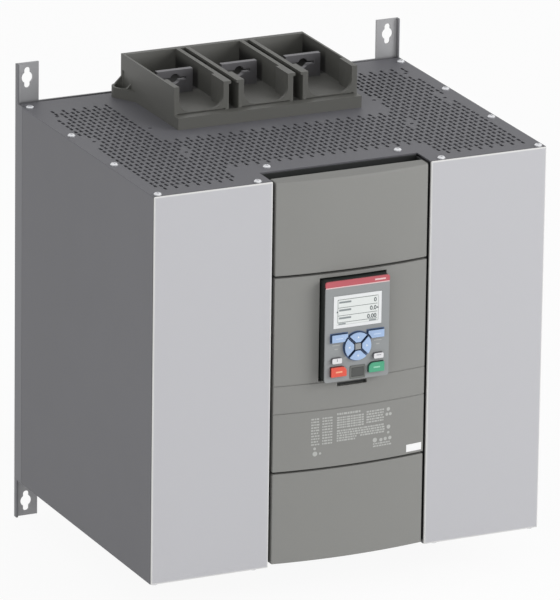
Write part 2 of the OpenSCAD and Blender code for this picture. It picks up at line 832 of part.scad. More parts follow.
module display_glass() color([0.9, 0.93, 0.95])
  translate([0, 0, pad_z + disp_up]) {
    plate_xz(face_rear, pad_board_y) square([disp_w, disp_h], center = true);
    plate_xz(pad_y, face_rear) round_rect(glass_w - near, glass_h - near, pad_t);
  }

socket_w = 8;
socket_h = 4;
socket_t = 0.5;

module port_socket() color([0.75, 0.75, 0.76])
  translate([port_x, 0, pad_z + port_dz]) difference() {
    plate_xz(face_rear + near, pad_board_y) square([socket_w, socket_h], center = true);
    plate_xz(face_rear + near - over, pad_board_y - socket_t)
      square([socket_w - 2 * socket_t, socket_h - 2 * socket_t], center = true);
  }

// Flap on two pins at its upper edge
module port_flap() color([0.6, 0.62, 0.62])
  translate([port_x, flap_y, pad_z + flap_top]) {
    rotate([0, 90, 0]) cylinder(r = flap_t / 2, h = flap_w, center = true, $fn = fine);
    block(-flap_w / 2, flap_w / 2, -flap_t / 2, flap_t / 2, -flap_h + flap_t / 2, 0);
    rotate([0, 90, 0])
      cylinder(r = flap_pin_r, h = flap_w + 2 * pin_l, center = true, $fn = fine);
  }

module soft_key_left() color([0.66, 0.78, 0.92])
  key_body(-soft_x, soft_dz) {
    soft_shape(0, -1);
    soft_shape(key_flange, -1);
  }

module soft_key_right() color([0.66, 0.78, 0.92])
  key_body(soft_x, soft_dz) {
    soft_shape(0, 1);
    soft_shape(key_flange, 1);
  }

module nav_key(turn) color([0.66, 0.78, 0.92])
  key_body(0, nav_dz) {
    rotate(turn) nav_shape(0);
    rotate(turn) nav_shape(key_flange);
  }

module nav_up() nav_key(0);

module nav_left() nav_key(90);

module nav_down() nav_key(180);

module nav_right() nav_key(270);

module info_key() color([0.9, 0.9, 0.92])
  key_body(-small_x, small_dz) {
    small_shape(0);
    small_shape(key_flange);
  }

module local_key() color([0.9, 0.9, 0.92])
  key_body(small_x, small_dz) {
    small_shape(0);
    small_shape(key_flange);
  }

module stop_key() color([0.86, 0.3, 0.24])
  key_body(-run_x, run_dz) {
    run_shape(0, -1);
    run_shape(key_flange, -1);
  }

module start_key() color([0.27, 0.62, 0.46])
  key_body(run_x, run_dz) {
    run_shape(0, 1);
    run_shape(key_flange, 1);
  }

// Terminal shrouds

// U-shaped opening of a cell's front, seen along Y
module cell_mouth() {
  h = shroud_h - floor_h + over;
  translate([-cell_w / 2, floor_h + cell_r]) square([cell_w, h - cell_r]);
  translate([-cell_w / 2 + cell_r, floor_h]) square([cell_w - 2 * cell_r, h]);
  for (s = [-1, 1])
    translate([s * (cell_w / 2 - cell_r), floor_h + cell_r]) circle(r = cell_r, $fn = rounder);
}

web_t = 4;
slit_w = 54;
slit_h = 1.2;
foot_t = 4;

module shroud() {
  z0 = half_h;
  wide = cell_half - cell_t;
  difference() {
    union() {
      for (i = [0:2])
        block(cell_x(i) - cell_half, cell_x(i) + cell_half, post_y, shroud_rear_y,
          z0, shroud_top);
      block(-shroud_half, shroud_half, post_y, shroud_rear_y, z0, z0 + floor_h - foot_t);
      block(-shroud_half, shroud_half, post_y - bar_d, post_y, z0, z0 + bar_h);
      block(-shroud_half, shroud_half, shroud_rear_y - shroud_rear_t, shroud_rear_y,
        z0, shroud_top);
      for (i = [0:1]) block(cell_x(i) + cell_half - over, cell_x(i) + cell_half + lip_w,
        post_y, shroud_rear_y, shroud_top - lip_t, shroud_top);
      for (i = [1:2]) block(cell_x(i) - cell_half - lip_w, cell_x(i) - cell_half + over,
        post_y, shroud_rear_y, shroud_top - lip_t, shroud_top);
      for (s = [0, 1]) mirror([s, 0, 0]) {
        rod_z(lug_x, lug_y, lug_r, z0, z0 + lug_h, rounder);
        plate_xy(z0, z0 + lug_h) polygon([[shroud_half - over, lug_y],
          [shroud_half - over, lug_y - flare], [shroud_half, lug_y - flare],
          [lug_x + lug_r * cos(lug_turn), lug_y - lug_r * sin(lug_turn)], [lug_x, lug_y]]);
      }
    }
    for (i = [0:2]) {
      translate([cell_x(i), 0, z0]) plate_xz(post_y - over, post_y + post_d) cell_mouth();
      block(cell_x(i) - cell_w / 2, cell_x(i) + cell_w / 2, post_y + web_t,
        post_y + post_d + over, z0 + floor_h, shroud_top + over);
      block(cell_x(i) - wide, cell_x(i) + wide, post_y + post_d,
        shroud_rear_y - shroud_rear_t, z0 + floor_h, shroud_top + over);
      block(cell_x(i) - bar_w / 2 - near, cell_x(i) + bar_w / 2 + near,
        bar_y - near, bar_y + bar_t + near, z0 - over, z0 + floor_h + over);
      block(cell_x(i) - slit_w / 2, cell_x(i) + slit_w / 2, post_y - over, post_y + web_t / 2,
        z0 + bar_h, z0 + bar_h + slit_h);
      block(cell_x(i) - wide, cell_x(i) + wide, post_y, bar_y - bar_window_t,
        z0 - over, z0 + floor_h - foot_t);
      block(cell_x(i) - wide, cell_x(i) + wide, bar_y + bar_window_t,
        shroud_rear_y - shroud_rear_t, z0 - over, z0 + floor_h - foot_t);
    }
    for (s = [0, 1]) mirror([s, 0, 0]) {
      intersection() {
        rod_z(lug_x, lug_y, lug_r * 3 / 4, z0 + lug_floor, z0 + shroud_h * 3 / 5, rounder);
        block(shroud_half - cell_t / 2, lug_x + lug_r, lug_y - lug_r, lug_y + lug_r,
          z0, shroud_top);
      }
      rod_z(lug_x, lug_y, screw_r + run_gap, z0 - over, z0 + lug_h + over);
    }
  }
}

module line_shroud() color([0.35, 0.35, 0.33]) shroud();

module load_shroud() color([0.35, 0.35, 0.33]) mirror([0, 0, 1]) shroud();

// Busbars

tail_mid = sink_half + sink_tail / 2;

module bar_tab(i) {
  block(cell_x(i) - bar_w / 2, cell_x(i) + bar_w / 2, bar_y, bar_y + bar_t, jog_low, bar_end);
}

module bar_jog(i) {
  block(min(cell_x(i), phase_x(i)) - bar_w / 2, max(cell_x(i), phase_x(i)) + bar_w / 2,
    bar_y, bar_y + bar_t, jog_low, jog_low + bar_w);
}

module bar_cuts(i) {
  z = bar_end - bar_hole_in;
  rod_y(cell_x(i), z, bar_hole_d / 2, bar_y - over, bar_y + bar_t + over);
  block(cell_x(i) - bar_key_l / 2, cell_x(i) + bar_key_l / 2, bar_y - over,
    bar_y + bar_t + over, z - bar_key_h / 2, z + bar_key_h / 2);
}

module line_bars() color([0.72, 0.72, 0.74])
  for (i = [0:2]) difference() {
    union() {
      bar_tab(i);
      bar_jog(i);
      block(phase_x(i) - bar_w / 2, phase_x(i) + bar_w / 2, bar_y, bar_y + bar_t,
        sink_half + near, jog_low + bar_w);
    }
    bar_cuts(i);
  }

module load_bars() color([0.72, 0.72, 0.74])
  mirror([0, 0, 1]) for (i = [0:2]) difference() {
    union() {
      bar_tab(i);
      bar_jog(i);
      block(phase_x(i) - bar_w / 2, phase_x(i) + bar_w / 2, disc_y, bar_y + bar_t,
        jog_low, jog_low + bar_t);
      block(phase_x(i) - bar_w / 2, phase_x(i) + bar_w / 2, disc_y, disc_y + bar_t,
        sink_half + near, jog_low + bar_t);
    }
    bar_cuts(i);
  }

sensor_w = 62;
sensor_d = 32;
sensor_h = 18;

module current_sensors() color([0.12, 0.12, 0.13])
  for (i = [0:2]) translate([cell_x(i), bar_y + bar_t / 2, -top_under]) difference() {
    linear_extrude(sensor_h) round_rect(sensor_w, sensor_d, sensor_d / 4);
    translate([0, 0, -over]) linear_extrude(sensor_h + 2 * over)
      square([bar_w + 2 * near, bar_t + 2 * near], center = true);
  }

// Power stack

clamp_x = sink_w / 2 - fin_side / 2;
fin_dx = (sink_w - 2 * fin_side - fin_t) / (fin_n - 1);

module sink_body(i, fin_y0, fin_y1, base_y, tail) {
  x0 = phase_x(i) - sink_w / 2;
  difference() {
    union() {
      block(x0, x0 + sink_w, base_y, base_y + sink_base, tail < 0 ? -sink_half - sink_tail
        : -sink_half, tail > 0 ? sink_half + sink_tail : sink_half);
      for (k = [0:fin_n - 1])
        block(x0 + fin_side + k * fin_dx, x0 + fin_side + k * fin_dx + fin_t,
          fin_y0, fin_y1, -sink_half, sink_half);
    }
    for (s = [-1, 1], z = [-1, 1])
      rod_y(phase_x(i) + s * clamp_x, z * disc_dz / 2, clamp_d / 2 + near,
        base_y - over, base_y + sink_base + over);
  }
}

module rear_sinks() color([0.72, 0.73, 0.74])
  for (i = [0:2]) sink_body(i, sink_base_y + sink_base, rail_front, sink_base_y, 1);

module front_sinks() color([0.72, 0.73, 0.74])
  for (i = [0:2]) sink_body(i, front_base_y - front_fin_d, front_base_y, front_base_y, -1);

pole_r = disc_d / 3;
pole_t = 1;
shed_d = 2;
sheds = 3;

// Disc with two metal poles and a ribbed ceramic ring
module thyristors() color([0.86, 0.84, 0.78])
  for (i = [0:2], s = [-1, 1]) translate([phase_x(i), disc_y, s * disc_dz / 2])
    rotate([-90, 0, 0]) {
      cylinder(r = pole_r, h = disc_t, $fn = rounder);
      translate([0, 0, pole_t]) cylinder(r = disc_d / 2 - shed_d, h = disc_t - 2 * pole_t,
        $fn = rounder);
      for (k = [0:sheds - 1])
        translate([0, 0, disc_t * (k + 0.75) / (sheds + 0.5)])
          cylinder(r = disc_d / 2, h = disc_t / (2 * sheds + 1), $fn = rounder);
    }

nut_r = clamp_d * 0.9;
nut_h = clamp_d * 0.6;

module clamp_bolts() color([0.6, 0.6, 0.62])
  for (i = [0:2], s = [-1, 1], z = [-1, 1])
    translate([phase_x(i) + s * clamp_x, front_base_y, z * disc_dz / 2]) rotate([-90, 0, 0]) {
      cylinder(r = clamp_d / 2, h = bar_y - front_base_y, $fn = fine);
      translate([0, 0, -nut_h]) cylinder(r = min(nut_r, fin_side / 2), h = nut_h, $fn = 6);
      translate([0, 0, bar_y - front_base_y])
        cylinder(r = min(nut_r, fin_side / 2), h = nut_h, $fn = 6);
    }

bypass_in = 22;
bypass_w = sink_w - bypass_in;
bypass_h = 130;
bypass_d = 74;
chute_n = 5;

// Contactor block with a stepped arc chute and ribs
module bypass(i) {
  y0 = back(part_d + sheet_t);
  z0 = -bypass_h / 3;
  rib = bypass_w / (2 * chute_n + 1);
  block(phase_x(i) - bypass_w / 2, phase_x(i) + bypass_w / 2, y0, y0 + bypass_d / 2,
    z0, z0 + bypass_h);
  block(phase_x(i) - bypass_w / 3, phase_x(i) + bypass_w / 3, y0, y0 + bypass_d * 3 / 4,
    z0 + bypass_h / 6, z0 + bypass_h * 5 / 6);
  for (k = [0:chute_n - 1])
    block(phase_x(i) - bypass_w / 2 + (2 * k + 1) * rib, phase_x(i) - bypass_w / 2
      + (2 * k + 2) * rib, y0, y0 + bypass_d, z0 + bypass_h / 4, z0 + bypass_h * 3 / 4);
}

module bypass_1() color([0.16, 0.16, 0.17]) bypass(0);

module bypass_2() color([0.16, 0.16, 0.17]) bypass(1);

module bypass_3() color([0.16, 0.16, 0.17]) bypass(2);

// Fans

fan_z = -top_under;
fan_corner = 7;
fan_floor = 5;
arm_w = 6;
sleeve_r = 5;
cup_t = 2;
cup_gap = 1.5;
cup_low = fan_floor + cup_gap;
cup_high = fan_h - cup_gap;
sleeve_top = cup_high - cup_t - cup_gap;
blade_t = 1.6;
blade_share = 0.61;
blade_bow = blade_share * fan_r;
blade_tilt = 42;
blade_half_turn = 36;
arm_turn = 45;

module fan_frame(i) {
  translate([phase_x(i), back(fan_back), fan_z]) difference() {
    union() {
      difference() {
        linear_extrude(fan_h) round_rect(fan_w, fan_w, fan_corner);
        translate([0, 0, -over]) cylinder(r = fan_r, h = fan_h + 2 * over, $fn = rounder);
      }
      cylinder(r = hub_r - cup_t, h = fan_floor, $fn = rounder);
      for (k = [0:3]) rotate(arm_turn + 90 * k)
        translate([hub_r - cup_t - over, -arm_w / 2, 0])
          cube([fan_r - hub_r + cup_t + 3 * over, arm_w, fan_floor - near]);
      cylinder(r = sleeve_r, h = sleeve_top, $fn = fine);
    }
    translate([0, 0, fan_floor - over]) cylinder(r = shaft_r + run_gap, h = fan_h, $fn = fine);
  }
}

// Blade as a stretch of a tilted cylinder wall that runs out from the hub
module blade() {
  rotate([90, 0, 90]) linear_extrude(fan_r) rotate(blade_tilt)
    translate([0, -blade_bow]) difference() {
      circle(r = blade_bow, $fn = rounder);
      circle(r = blade_bow - blade_t, $fn = rounder);
      translate([-2 * blade_bow, -2 * blade_bow])
        square([4 * blade_bow, 2 * blade_bow + blade_bow * cos(blade_half_turn)]);
    }
}

module fan_rotor(i) {
  translate([phase_x(i), back(fan_back), fan_z]) {
    difference() {
      translate([0, 0, cup_low]) cylinder(r = hub_r, h = cup_high - cup_low, $fn = rounder);
      translate([0, 0, cup_low - over])
        cylinder(r = hub_r - cup_t, h = cup_high - cup_t - cup_low + over, $fn = rounder);
    }
    translate([0, 0, fan_floor + cup_gap])
      cylinder(r = shaft_r, h = cup_high - fan_floor - cup_gap, $fn = fine);
    for (k = [0:blade_n - 1]) intersection() {
      rotate(360 / blade_n * k) translate([0, 0, (cup_low + cup_high) / 2]) blade();
      difference() {
        translate([0, 0, cup_low])
          cylinder(r = fan_r - tip_gap, h = cup_high - cup_low, $fn = rounder);
        cylinder(r = hub_r - cup_t / 2, h = fan_h, $fn = rounder);
      }
    }
  }
}

module fan_frame_1() color([0.1, 0.1, 0.1]) fan_frame(0);

module fan_frame_2() color([0.1, 0.1, 0.1]) fan_frame(1);

module fan_frame_3() color([0.1, 0.1, 0.1]) fan_frame(2);

module fan_rotor_1() color([0.15, 0.15, 0.15]) fan_rotor(0);

module fan_rotor_2() color([0.15, 0.15, 0.15]) fan_rotor(1);

module fan_rotor_3() color([0.15, 0.15, 0.15]) fan_rotor(2);

// Screws

// Pan-head screw with a cross recess, its head resting on z
module pan_screw(x, y, z) {
  translate([x, y, z]) difference() {
    union() {
      cylinder(r = head_r, h = head_h / 2, $fn = fine);
      translate([0, 0, head_h / 2]) cylinder(r1 = head_r, r2 = head_r * 3 / 4,
        h = head_h / 2, $fn = fine);
      translate([0, 0, -screw_len]) cylinder(r = screw_r, h = screw_len, $fn = fine);
    }
    for (a = [0, 90]) rotate(a)
      translate([-cross_l / 2, -cross_w / 2, head_h - cross_d])
        cube([cross_l, cross_w, cross_d + over]);
  }
}

module top_screws() color([0.7, 0.7, 0.72]) for (p = SCREWS) pan_screw(p[0], p[1], half_h);

module bottom_screws() color([0.7, 0.7, 0.72])
  mirror([0, 0, 1]) for (p = SCREWS) pan_screw(p[0], p[1], half_h);

module shroud_screws() color([0.7, 0.7, 0.72])
  for (m = [0, 1]) mirror([0, 0, m])
    for (s = [-1, 1]) pan_screw(s * lug_x, lug_y, half_h + lug_floor);

chassis();
sink_rails();
tie_straps();
partition();
side_left();
side_right();
top_cover();
bottom_cover();
front_left();
front_right();
bay_tray();
control_board();
board_parts();
upper_cover();
middle_cover();
lower_cover();
blank_label();
pad_housing();
pad_board();
pad_face();
pad_strip();
display_frame();
display_glass();
port_socket();
port_flap();
soft_key_left();
soft_key_right();
nav_up();
nav_left();
nav_down();
nav_right();
info_key();
local_key();
stop_key();
start_key();
line_shroud();
load_shroud();
line_bars();
load_bars();
current_sensors();
rear_sinks();
front_sinks();
thyristors();
clamp_bolts();
bypass_1();
bypass_2();
bypass_3();
fan_frame_1();
fan_frame_2();
fan_frame_3();
fan_rotor_1();
fan_rotor_2();
fan_rotor_3();
top_screws();
bottom_screws();
shroud_screws();
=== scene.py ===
import json
import math

import bpy
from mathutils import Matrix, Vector

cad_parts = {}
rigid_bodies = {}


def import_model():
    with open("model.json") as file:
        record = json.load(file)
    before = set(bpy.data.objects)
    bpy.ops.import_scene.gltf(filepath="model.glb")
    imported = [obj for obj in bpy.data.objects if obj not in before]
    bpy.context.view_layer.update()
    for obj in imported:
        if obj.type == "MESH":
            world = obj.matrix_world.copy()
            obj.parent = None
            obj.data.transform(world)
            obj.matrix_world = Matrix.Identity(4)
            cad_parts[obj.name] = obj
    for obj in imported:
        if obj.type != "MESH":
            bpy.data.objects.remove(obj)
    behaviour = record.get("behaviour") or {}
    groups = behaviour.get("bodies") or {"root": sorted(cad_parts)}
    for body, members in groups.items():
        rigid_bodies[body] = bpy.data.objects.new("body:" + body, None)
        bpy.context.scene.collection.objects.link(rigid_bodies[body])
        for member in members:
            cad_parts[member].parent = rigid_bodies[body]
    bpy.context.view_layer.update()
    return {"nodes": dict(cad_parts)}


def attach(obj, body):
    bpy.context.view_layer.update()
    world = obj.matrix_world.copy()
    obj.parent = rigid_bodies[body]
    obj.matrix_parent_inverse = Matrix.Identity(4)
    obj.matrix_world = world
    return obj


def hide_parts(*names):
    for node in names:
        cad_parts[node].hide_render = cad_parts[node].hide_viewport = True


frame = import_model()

MM = 0.001
SAME_PLACE = 0.01
NODES = frame["nodes"]

# Sizes of the case, in millimetres, from the part's source
HALF_W = 217.5
HALF_H = 204.5
FRONT_Y = -347.0
SHEET = 1.5
PANEL = 2.0
BAY_HALF = 87.8
EDGE_R = 2.0
BAY_BACK_Y = -314.0
COVER_HALF = 84.3
COVER_BOW = 6.5
COVER_BACK_Y = -332.0
BOW_R = (COVER_HALF ** 2 + COVER_BOW ** 2) / (2 * COVER_BOW)
BOW_Y = FRONT_Y - COVER_BOW + BOW_R
PAD_HALF_W = 35.6
PAD_HALF_H = 53.2
PAD_Z = 43.9
PAD_Y = -363.2
PAD_REAR_Y = -338.8

# Keys, their bed and the port on the keypad
NAV_R = 14.6
NAV_Z = 26.3
SOFT_X = 20.2
SOFT_Z = 37.1
SOFT_W = 17.6
SOFT_H = 8.0
BED_RIM = 1.2
SMALL_X = 23.2
SMALL_Z = 14.5
RUN_X = 21.0
RUN_Z = 1.8
PORT_X = 1.0
PORT_Z = -1.4
PORT_W = 17.0
PORT_H = 14.0
SKIRT_Y = -365.9
CAP_Y = PAD_Y - 3.4


# Selection and modelling

def deselect():
    """Deselects every object."""
    bpy.ops.object.select_all(action="DESELECT")


def activate(piece):
    """Makes a piece the only selected one and the active one."""
    deselect()
    piece.select_set(True)
    bpy.context.view_layer.objects.active = piece


def settle(piece):
    """Puts a piece's place, turn and size into its mesh."""
    activate(piece)
    bpy.ops.object.transform_apply(location=True, rotation=True, scale=True)
    return piece


def block(name, low, high):
    """Block between two corners, in millimetres."""
    deselect()
    middle = [(a + b) / 2 * MM for a, b in zip(low, high)]
    size = [(b - a) * MM for a, b in zip(low, high)]
    bpy.ops.mesh.primitive_cube_add(size=1, location=middle, scale=size)
    piece = bpy.context.object
    piece.name = name
    return settle(piece)


def rod(name, middle, radius, depth, sides):
    """Upright round bar about a middle, in millimetres."""
    deselect()
    bpy.ops.mesh.primitive_cylinder_add(vertices=sides, radius=radius * MM, depth=depth * MM,
                                        location=[v * MM for v in middle])
    piece = bpy.context.object
    piece.name = name
    return settle(piece)


def modify(piece, kind, **values):
    """Adds a modifier with these values and applies it."""
    activate(piece)
    modifier = piece.modifiers.new(kind.lower(), kind)
    for key, value in values.items():
        setattr(modifier, key, value)
    bpy.ops.object.modifier_apply(modifier=modifier.name)
    return piece


def round_edges(piece, width, segments=2, angle=35):
    """Rounds the sharp edges and smooths what is left."""
    smooth(piece)
    return modify(piece, "BEVEL", width=width * MM, segments=segments, limit_method="ANGLE",
                  angle_limit=math.radians(angle), use_clamp_overlap=True,
                  harden_normals=True)


def smooth(piece, angle=35):
    """Smooths the shading except across edges sharper than an angle in degrees."""
    activate(piece)
    bpy.ops.object.shade_smooth_by_angle(angle=math.radians(angle))
    return piece


def cut(piece, cutter, solver="EXACT"):
    """Takes the cutter out of the piece and deletes it."""
    modify(piece, "BOOLEAN", operation="DIFFERENCE", solver=solver, object=cutter)
    bpy.data.objects.remove(cutter)
    return piece


def join(name, pieces):
    """Joins pieces into the first one and names it."""
    deselect()
    for piece in pieces:
        piece.select_set(True)
    bpy.context.view_layer.objects.active = pieces[0]
    if len(pieces) > 1:
        bpy.ops.object.join()
    pieces[0].name = name
    return pieces[0]


def select_edges(piece, test):
    """Enters edit mode with the edges selected whose two ends pass a test in millimetres."""
    activate(piece)
    bpy.ops.object.mode_set(mode="EDIT")
    bpy.ops.mesh.select_mode(type="EDGE")
    bpy.ops.mesh.select_all(action="DESELECT")
    bpy.ops.object.mode_set(mode="OBJECT")
    places = [v.co / MM for v in piece.data.vertices]
    for edge in piece.data.edges:
        edge.select = test(places[edge.vertices[0]], places[edge.vertices[1]])
    bpy.ops.object.mode_set(mode="EDIT")


def leave_edit():
    """Leaves edit mode."""
    bpy.ops.object.mode_set(mode="OBJECT")


def upright_edges(a, b):
    """Tells whether two ends in millimetres stand one above the other."""
    return abs(a.x - b.x) < SAME_PLACE and abs(a.y - b.y) < SAME_PLACE


def round_block(name, low, high, radius, along, segments=6):
    """Block whose edges along one direction are rounded."""
    piece = block(name, low, high)
    select_edges(piece, along)
    bpy.ops.mesh.bevel(offset=radius * MM, segments=segments, affect="EDGES")
    leave_edit()
    return piece


# Materials

GRAIN_DEPTH = 0.0002


def finish(name, colour, roughness, metal=0.0, coat=0.0, grain=0.0, grain_size=900.0,
           mottle=0.0, mottle_size=12.0, stretch=(1.0, 1.0, 1.0)):
    """Procedural finish: a colour that varies slightly and a fine surface grain."""
    material = bpy.data.materials.new(name)
    material.use_nodes = True
    tree = material.node_tree
    shader = tree.nodes["Principled BSDF"]
    shader.inputs["Roughness"].default_value = roughness
    shader.inputs["Metallic"].default_value = metal
    shader.inputs["Coat Weight"].default_value = coat
    shader.inputs["Base Color"].default_value = (*colour, 1)
    place = tree.nodes.new("ShaderNodeTexCoord")
    turn = tree.nodes.new("ShaderNodeMapping")
    turn.inputs["Scale"].default_value = stretch
    tree.links.new(place.outputs["Object"], turn.inputs["Vector"])
    if mottle:
        cloud = tree.nodes.new("ShaderNodeTexNoise")
        cloud.inputs["Scale"].default_value = mottle_size
        cloud.inputs["Detail"].default_value = 3.0
        tree.links.new(turn.outputs["Vector"], cloud.inputs["Vector"])
        ramp = tree.nodes.new("ShaderNodeValToRGB")
        low, high = ramp.color_ramp.elements
        low.position, high.position = 0.3, 0.7
        low.color = (*[c * (1 - mottle) for c in colour], 1)
        high.color = (*[min(1, c * (1 + mottle)) for c in colour], 1)
        tree.links.new(cloud.outputs["Fac"], ramp.inputs["Fac"])
        tree.links.new(ramp.outputs["Color"], shader.inputs["Base Color"])
    if grain:
        noise = tree.nodes.new("ShaderNodeTexNoise")
        noise.inputs["Scale"].default_value = grain_size
        noise.inputs["Detail"].default_value = 2.0
        tree.links.new(turn.outputs["Vector"], noise.inputs["Vector"])
        bump = tree.nodes.new("ShaderNodeBump")
        bump.inputs["Strength"].default_value = grain
        bump.inputs["Distance"].default_value = GRAIN_DEPTH
        tree.links.new(noise.outputs["Fac"], bump.inputs["Height"])
        tree.links.new(bump.outputs["Normal"], shader.inputs["Normal"])
    return material


def linear(r, g, b):
    """Screen colour from 0 to 255 as linear light."""
    def one(v):
        v = v / 255
        return v / 12.92 if v <= 0.04045 else ((v + 0.055) / 1.055) ** 2.4
    return one(r), one(g), one(b)


def math_node(tree, kind, first, second=None):
    """Math node between two values, each a socket or a number."""
    node = tree.nodes.new("ShaderNodeMath")
    node.operation = kind
    for socket, value in zip(node.inputs, (first, second)):
        if isinstance(value, float):
            socket.default_value = value
        elif value is not None:
            tree.links.new(value, socket)
    return node.outputs["Value"]


def object_axes(tree):
    """Object coordinates X, Y and Z of a material's tree."""
    place = next(n for n in tree.nodes if n.type == "TEX_COORD")
    split = tree.nodes.new("ShaderNodeSeparateXYZ")
    tree.links.new(place.outputs["Object"], split.inputs["Vector"])
    return [split.outputs[a] for a in ("X", "Y", "Z")]


def blend(tree, factor, under, over):
    """Colours the surface: over where the factor is one, else under, a colour or a socket."""
    mix = tree.nodes.new("ShaderNodeMix")
    mix.data_type = "RGBA"
    if isinstance(under, tuple):
        mix.inputs["A"].default_value = (*under, 1)
    else:
        tree.links.new(under, mix.inputs["A"])
    mix.inputs["B"].default_value = (*over, 1)
    tree.links.new(factor, mix.inputs["Factor"])
    tree.links.new(mix.outputs["Result"], tree.nodes["Principled BSDF"].inputs["Base Color"])
    return mix.outputs["Result"]


def ramp_between(tree, value, start, end):
    """Runs from zero to one as a value in millimetres goes from a start to an end."""
    ramp = tree.nodes.new("ShaderNodeMapRange")
    ramp.interpolation_type = "SMOOTHSTEP"
    ramp.inputs["From Min"].default_value = start * MM
    ramp.inputs["From Max"].default_value = end * MM
    tree.links.new(value, ramp.inputs["Value"])
    return ramp.outputs["Result"]


def capped_key(name, cap, skirt_shade):
    """Key finish: the cap's colour in front, and behind it on the key's sides a darker copy,
    which is painted shade.
    """
    material = finish(name, cap, 0.35, coat=0.2)
    tree = material.node_tree
    deep = object_axes(tree)[1]
    blend(tree, math_node(tree, "GREATER_THAN", deep, SKIRT_Y * MM), cap, skirt_shade)
    return material


def bedded_face(name, face, bed, rim):
    """Keypad face, dark in the bed around the blue keys, which is partly the border's own colour
    and partly painted shade, and dark on the rim of the port.
    """
    material = finish(name, face, 0.5, grain=0.2, mottle=0.01)
    tree = material.node_tree
    across, deep, high = object_axes(tree)
    from_nav = math_node(tree, "SUBTRACT", high, NAV_Z * MM)
    reach = math_node(tree, "SQRT", math_node(
        tree, "ADD", math_node(tree, "MULTIPLY", across, across),
        math_node(tree, "MULTIPLY", from_nav, from_nav)))
    side = math_node(tree, "ABSOLUTE", math_node(
        tree, "SUBTRACT", math_node(tree, "ABSOLUTE", across), SOFT_X * MM))
    rise = math_node(tree, "ABSOLUTE", math_node(tree, "SUBTRACT", high, SOFT_Z * MM))
    inside = math_node(
        tree, "MAXIMUM", math_node(tree, "LESS_THAN", reach, (NAV_R + BED_RIM) * MM),
        math_node(tree, "MULTIPLY",
                  math_node(tree, "LESS_THAN", side, (SOFT_W / 2 + BED_RIM) * MM),
                  math_node(tree, "LESS_THAN", rise, (SOFT_H / 2 + BED_RIM) * MM)))
    low = math_node(tree, "GREATER_THAN", deep, (PAD_Y - 0.2) * MM)
    bedded = blend(tree, math_node(tree, "MULTIPLY", inside, low), face, bed)
    past = math_node(tree, "ABSOLUTE", math_node(tree, "SUBTRACT", across, PORT_X * MM))
    beyond = math_node(tree, "ABSOLUTE", math_node(tree, "SUBTRACT", high, PORT_Z * MM))
    on_rim = math_node(
        tree, "MULTIPLY", math_node(tree, "LESS_THAN", past, (PORT_W / 2 + 0.1) * MM),
        math_node(tree, "LESS_THAN", beyond, (PORT_H / 2 + 0.1) * MM))
    blend(tree, on_rim, bedded, rim)
    return material


# Where painted shade darkens the shroud's plastic: depths, heights and half its width
SHADE_FRONT_Y = (-73.0, -68.0)
SHADE_REAR_Y = -15.0
SHADE_Z = (246.0, 232.0)
SHADE_HALF_W = 101.0


def shroud_painted_shade_finish(name, colour, shade):
    """Shroud plastic with painted shade low down behind the busbars, where no light gets in."""
    material = finish(name, colour, 0.5, grain=0.3, mottle=0.03)
    tree = material.node_tree
    across, deep, high = object_axes(tree)
    behind = ramp_between(tree, deep, *SHADE_FRONT_Y)
    inside = math_node(tree, "LESS_THAN", deep, SHADE_REAR_Y * MM)
    low = ramp_between(tree, math_node(tree, "ABSOLUTE", high), *SHADE_Z)
    within = math_node(tree, "LESS_THAN", math_node(tree, "ABSOLUTE", across),
                       SHADE_HALF_W * MM)
    factor = math_node(tree, "MULTIPLY", math_node(tree, "MULTIPLY", behind, inside),
                       math_node(tree, "MULTIPLY", low, within))
    blend(tree, factor, colour, shade)
    return material


# Where an ear starts above the case, and the lip beside its face
EAR_Z = (HALF_H - 2.0, HALF_H + 2.0)
LIP_X = (HALF_W - 1.6, HALF_W - 2.4)


def ear_zinc_and_reflection_finish(name, colour, zinc_and_reflection):
    """Dull paint that turns to a paler zinc colour on the faces of the four ears, partly a
    painted reflection.
    """
    material = finish(name, colour, 0.45, metal=0.25, grain=0.25, mottle=0.02)
    tree = material.node_tree
    across, _, high = object_axes(tree)
    past = ramp_between(tree, math_node(tree, "ABSOLUTE", high), *EAR_Z)
    face = ramp_between(tree, math_node(tree, "ABSOLUTE", across), *LIP_X)
    blend(tree, math_node(tree, "MULTIPLY", past, face), colour, zinc_and_reflection)
    return material


# Depths over which painted shade darkens the panels' returns and a painted highlight lightens
# their bends
RETURN_SHADE_Y = (FRONT_Y + 1.0, FRONT_Y + 3.0)
BEND_HIGHLIGHT_Y = (FRONT_Y + 3.0, FRONT_Y + 1.5)
BEND_END = 0.3


def panel_shade_and_highlight_finish(name, colour, shade, edge):
    """Pale paint with a painted highlight on the bends and painted shade on the returns beside
    the bay.
    """
    material = finish(name, colour, 0.5, grain=0.2, grain_size=1400, mottle=0.012)
    tree = material.node_tree
    across, deep, high = object_axes(tree)
    # Painted shade on the returns beside the bay.
    beside = math_node(tree, "LESS_THAN", math_node(tree, "ABSOLUTE", across),
                       (BAY_HALF + SHEET + 0.2) * MM)
    shaded = blend(tree, math_node(tree, "MULTIPLY", beside,
                                   ramp_between(tree, deep, *RETURN_SHADE_Y)), colour, shade)
    # Painted highlight along the bends at the outer edges, the bay's edges and the ends.
    wide, tall = math_node(tree, "ABSOLUTE", across), math_node(tree, "ABSOLUTE", high)
    bend_highlight = ramp_between(tree, wide, HALF_W - EDGE_R, HALF_W - BEND_END)
    for value, start, end in ((wide, BAY_HALF + EDGE_R, BAY_HALF + BEND_END),
                              (tall, HALF_H - EDGE_R, HALF_H - BEND_END)):
        bend_highlight = math_node(tree, "MAXIMUM", bend_highlight, ramp_between(tree, value, start, end))
    bend_highlight = math_node(tree, "MULTIPLY", bend_highlight, ramp_between(tree, deep, *BEND_HIGHLIGHT_Y))
    blend(tree, bend_highlight, shaded, edge)
    return material


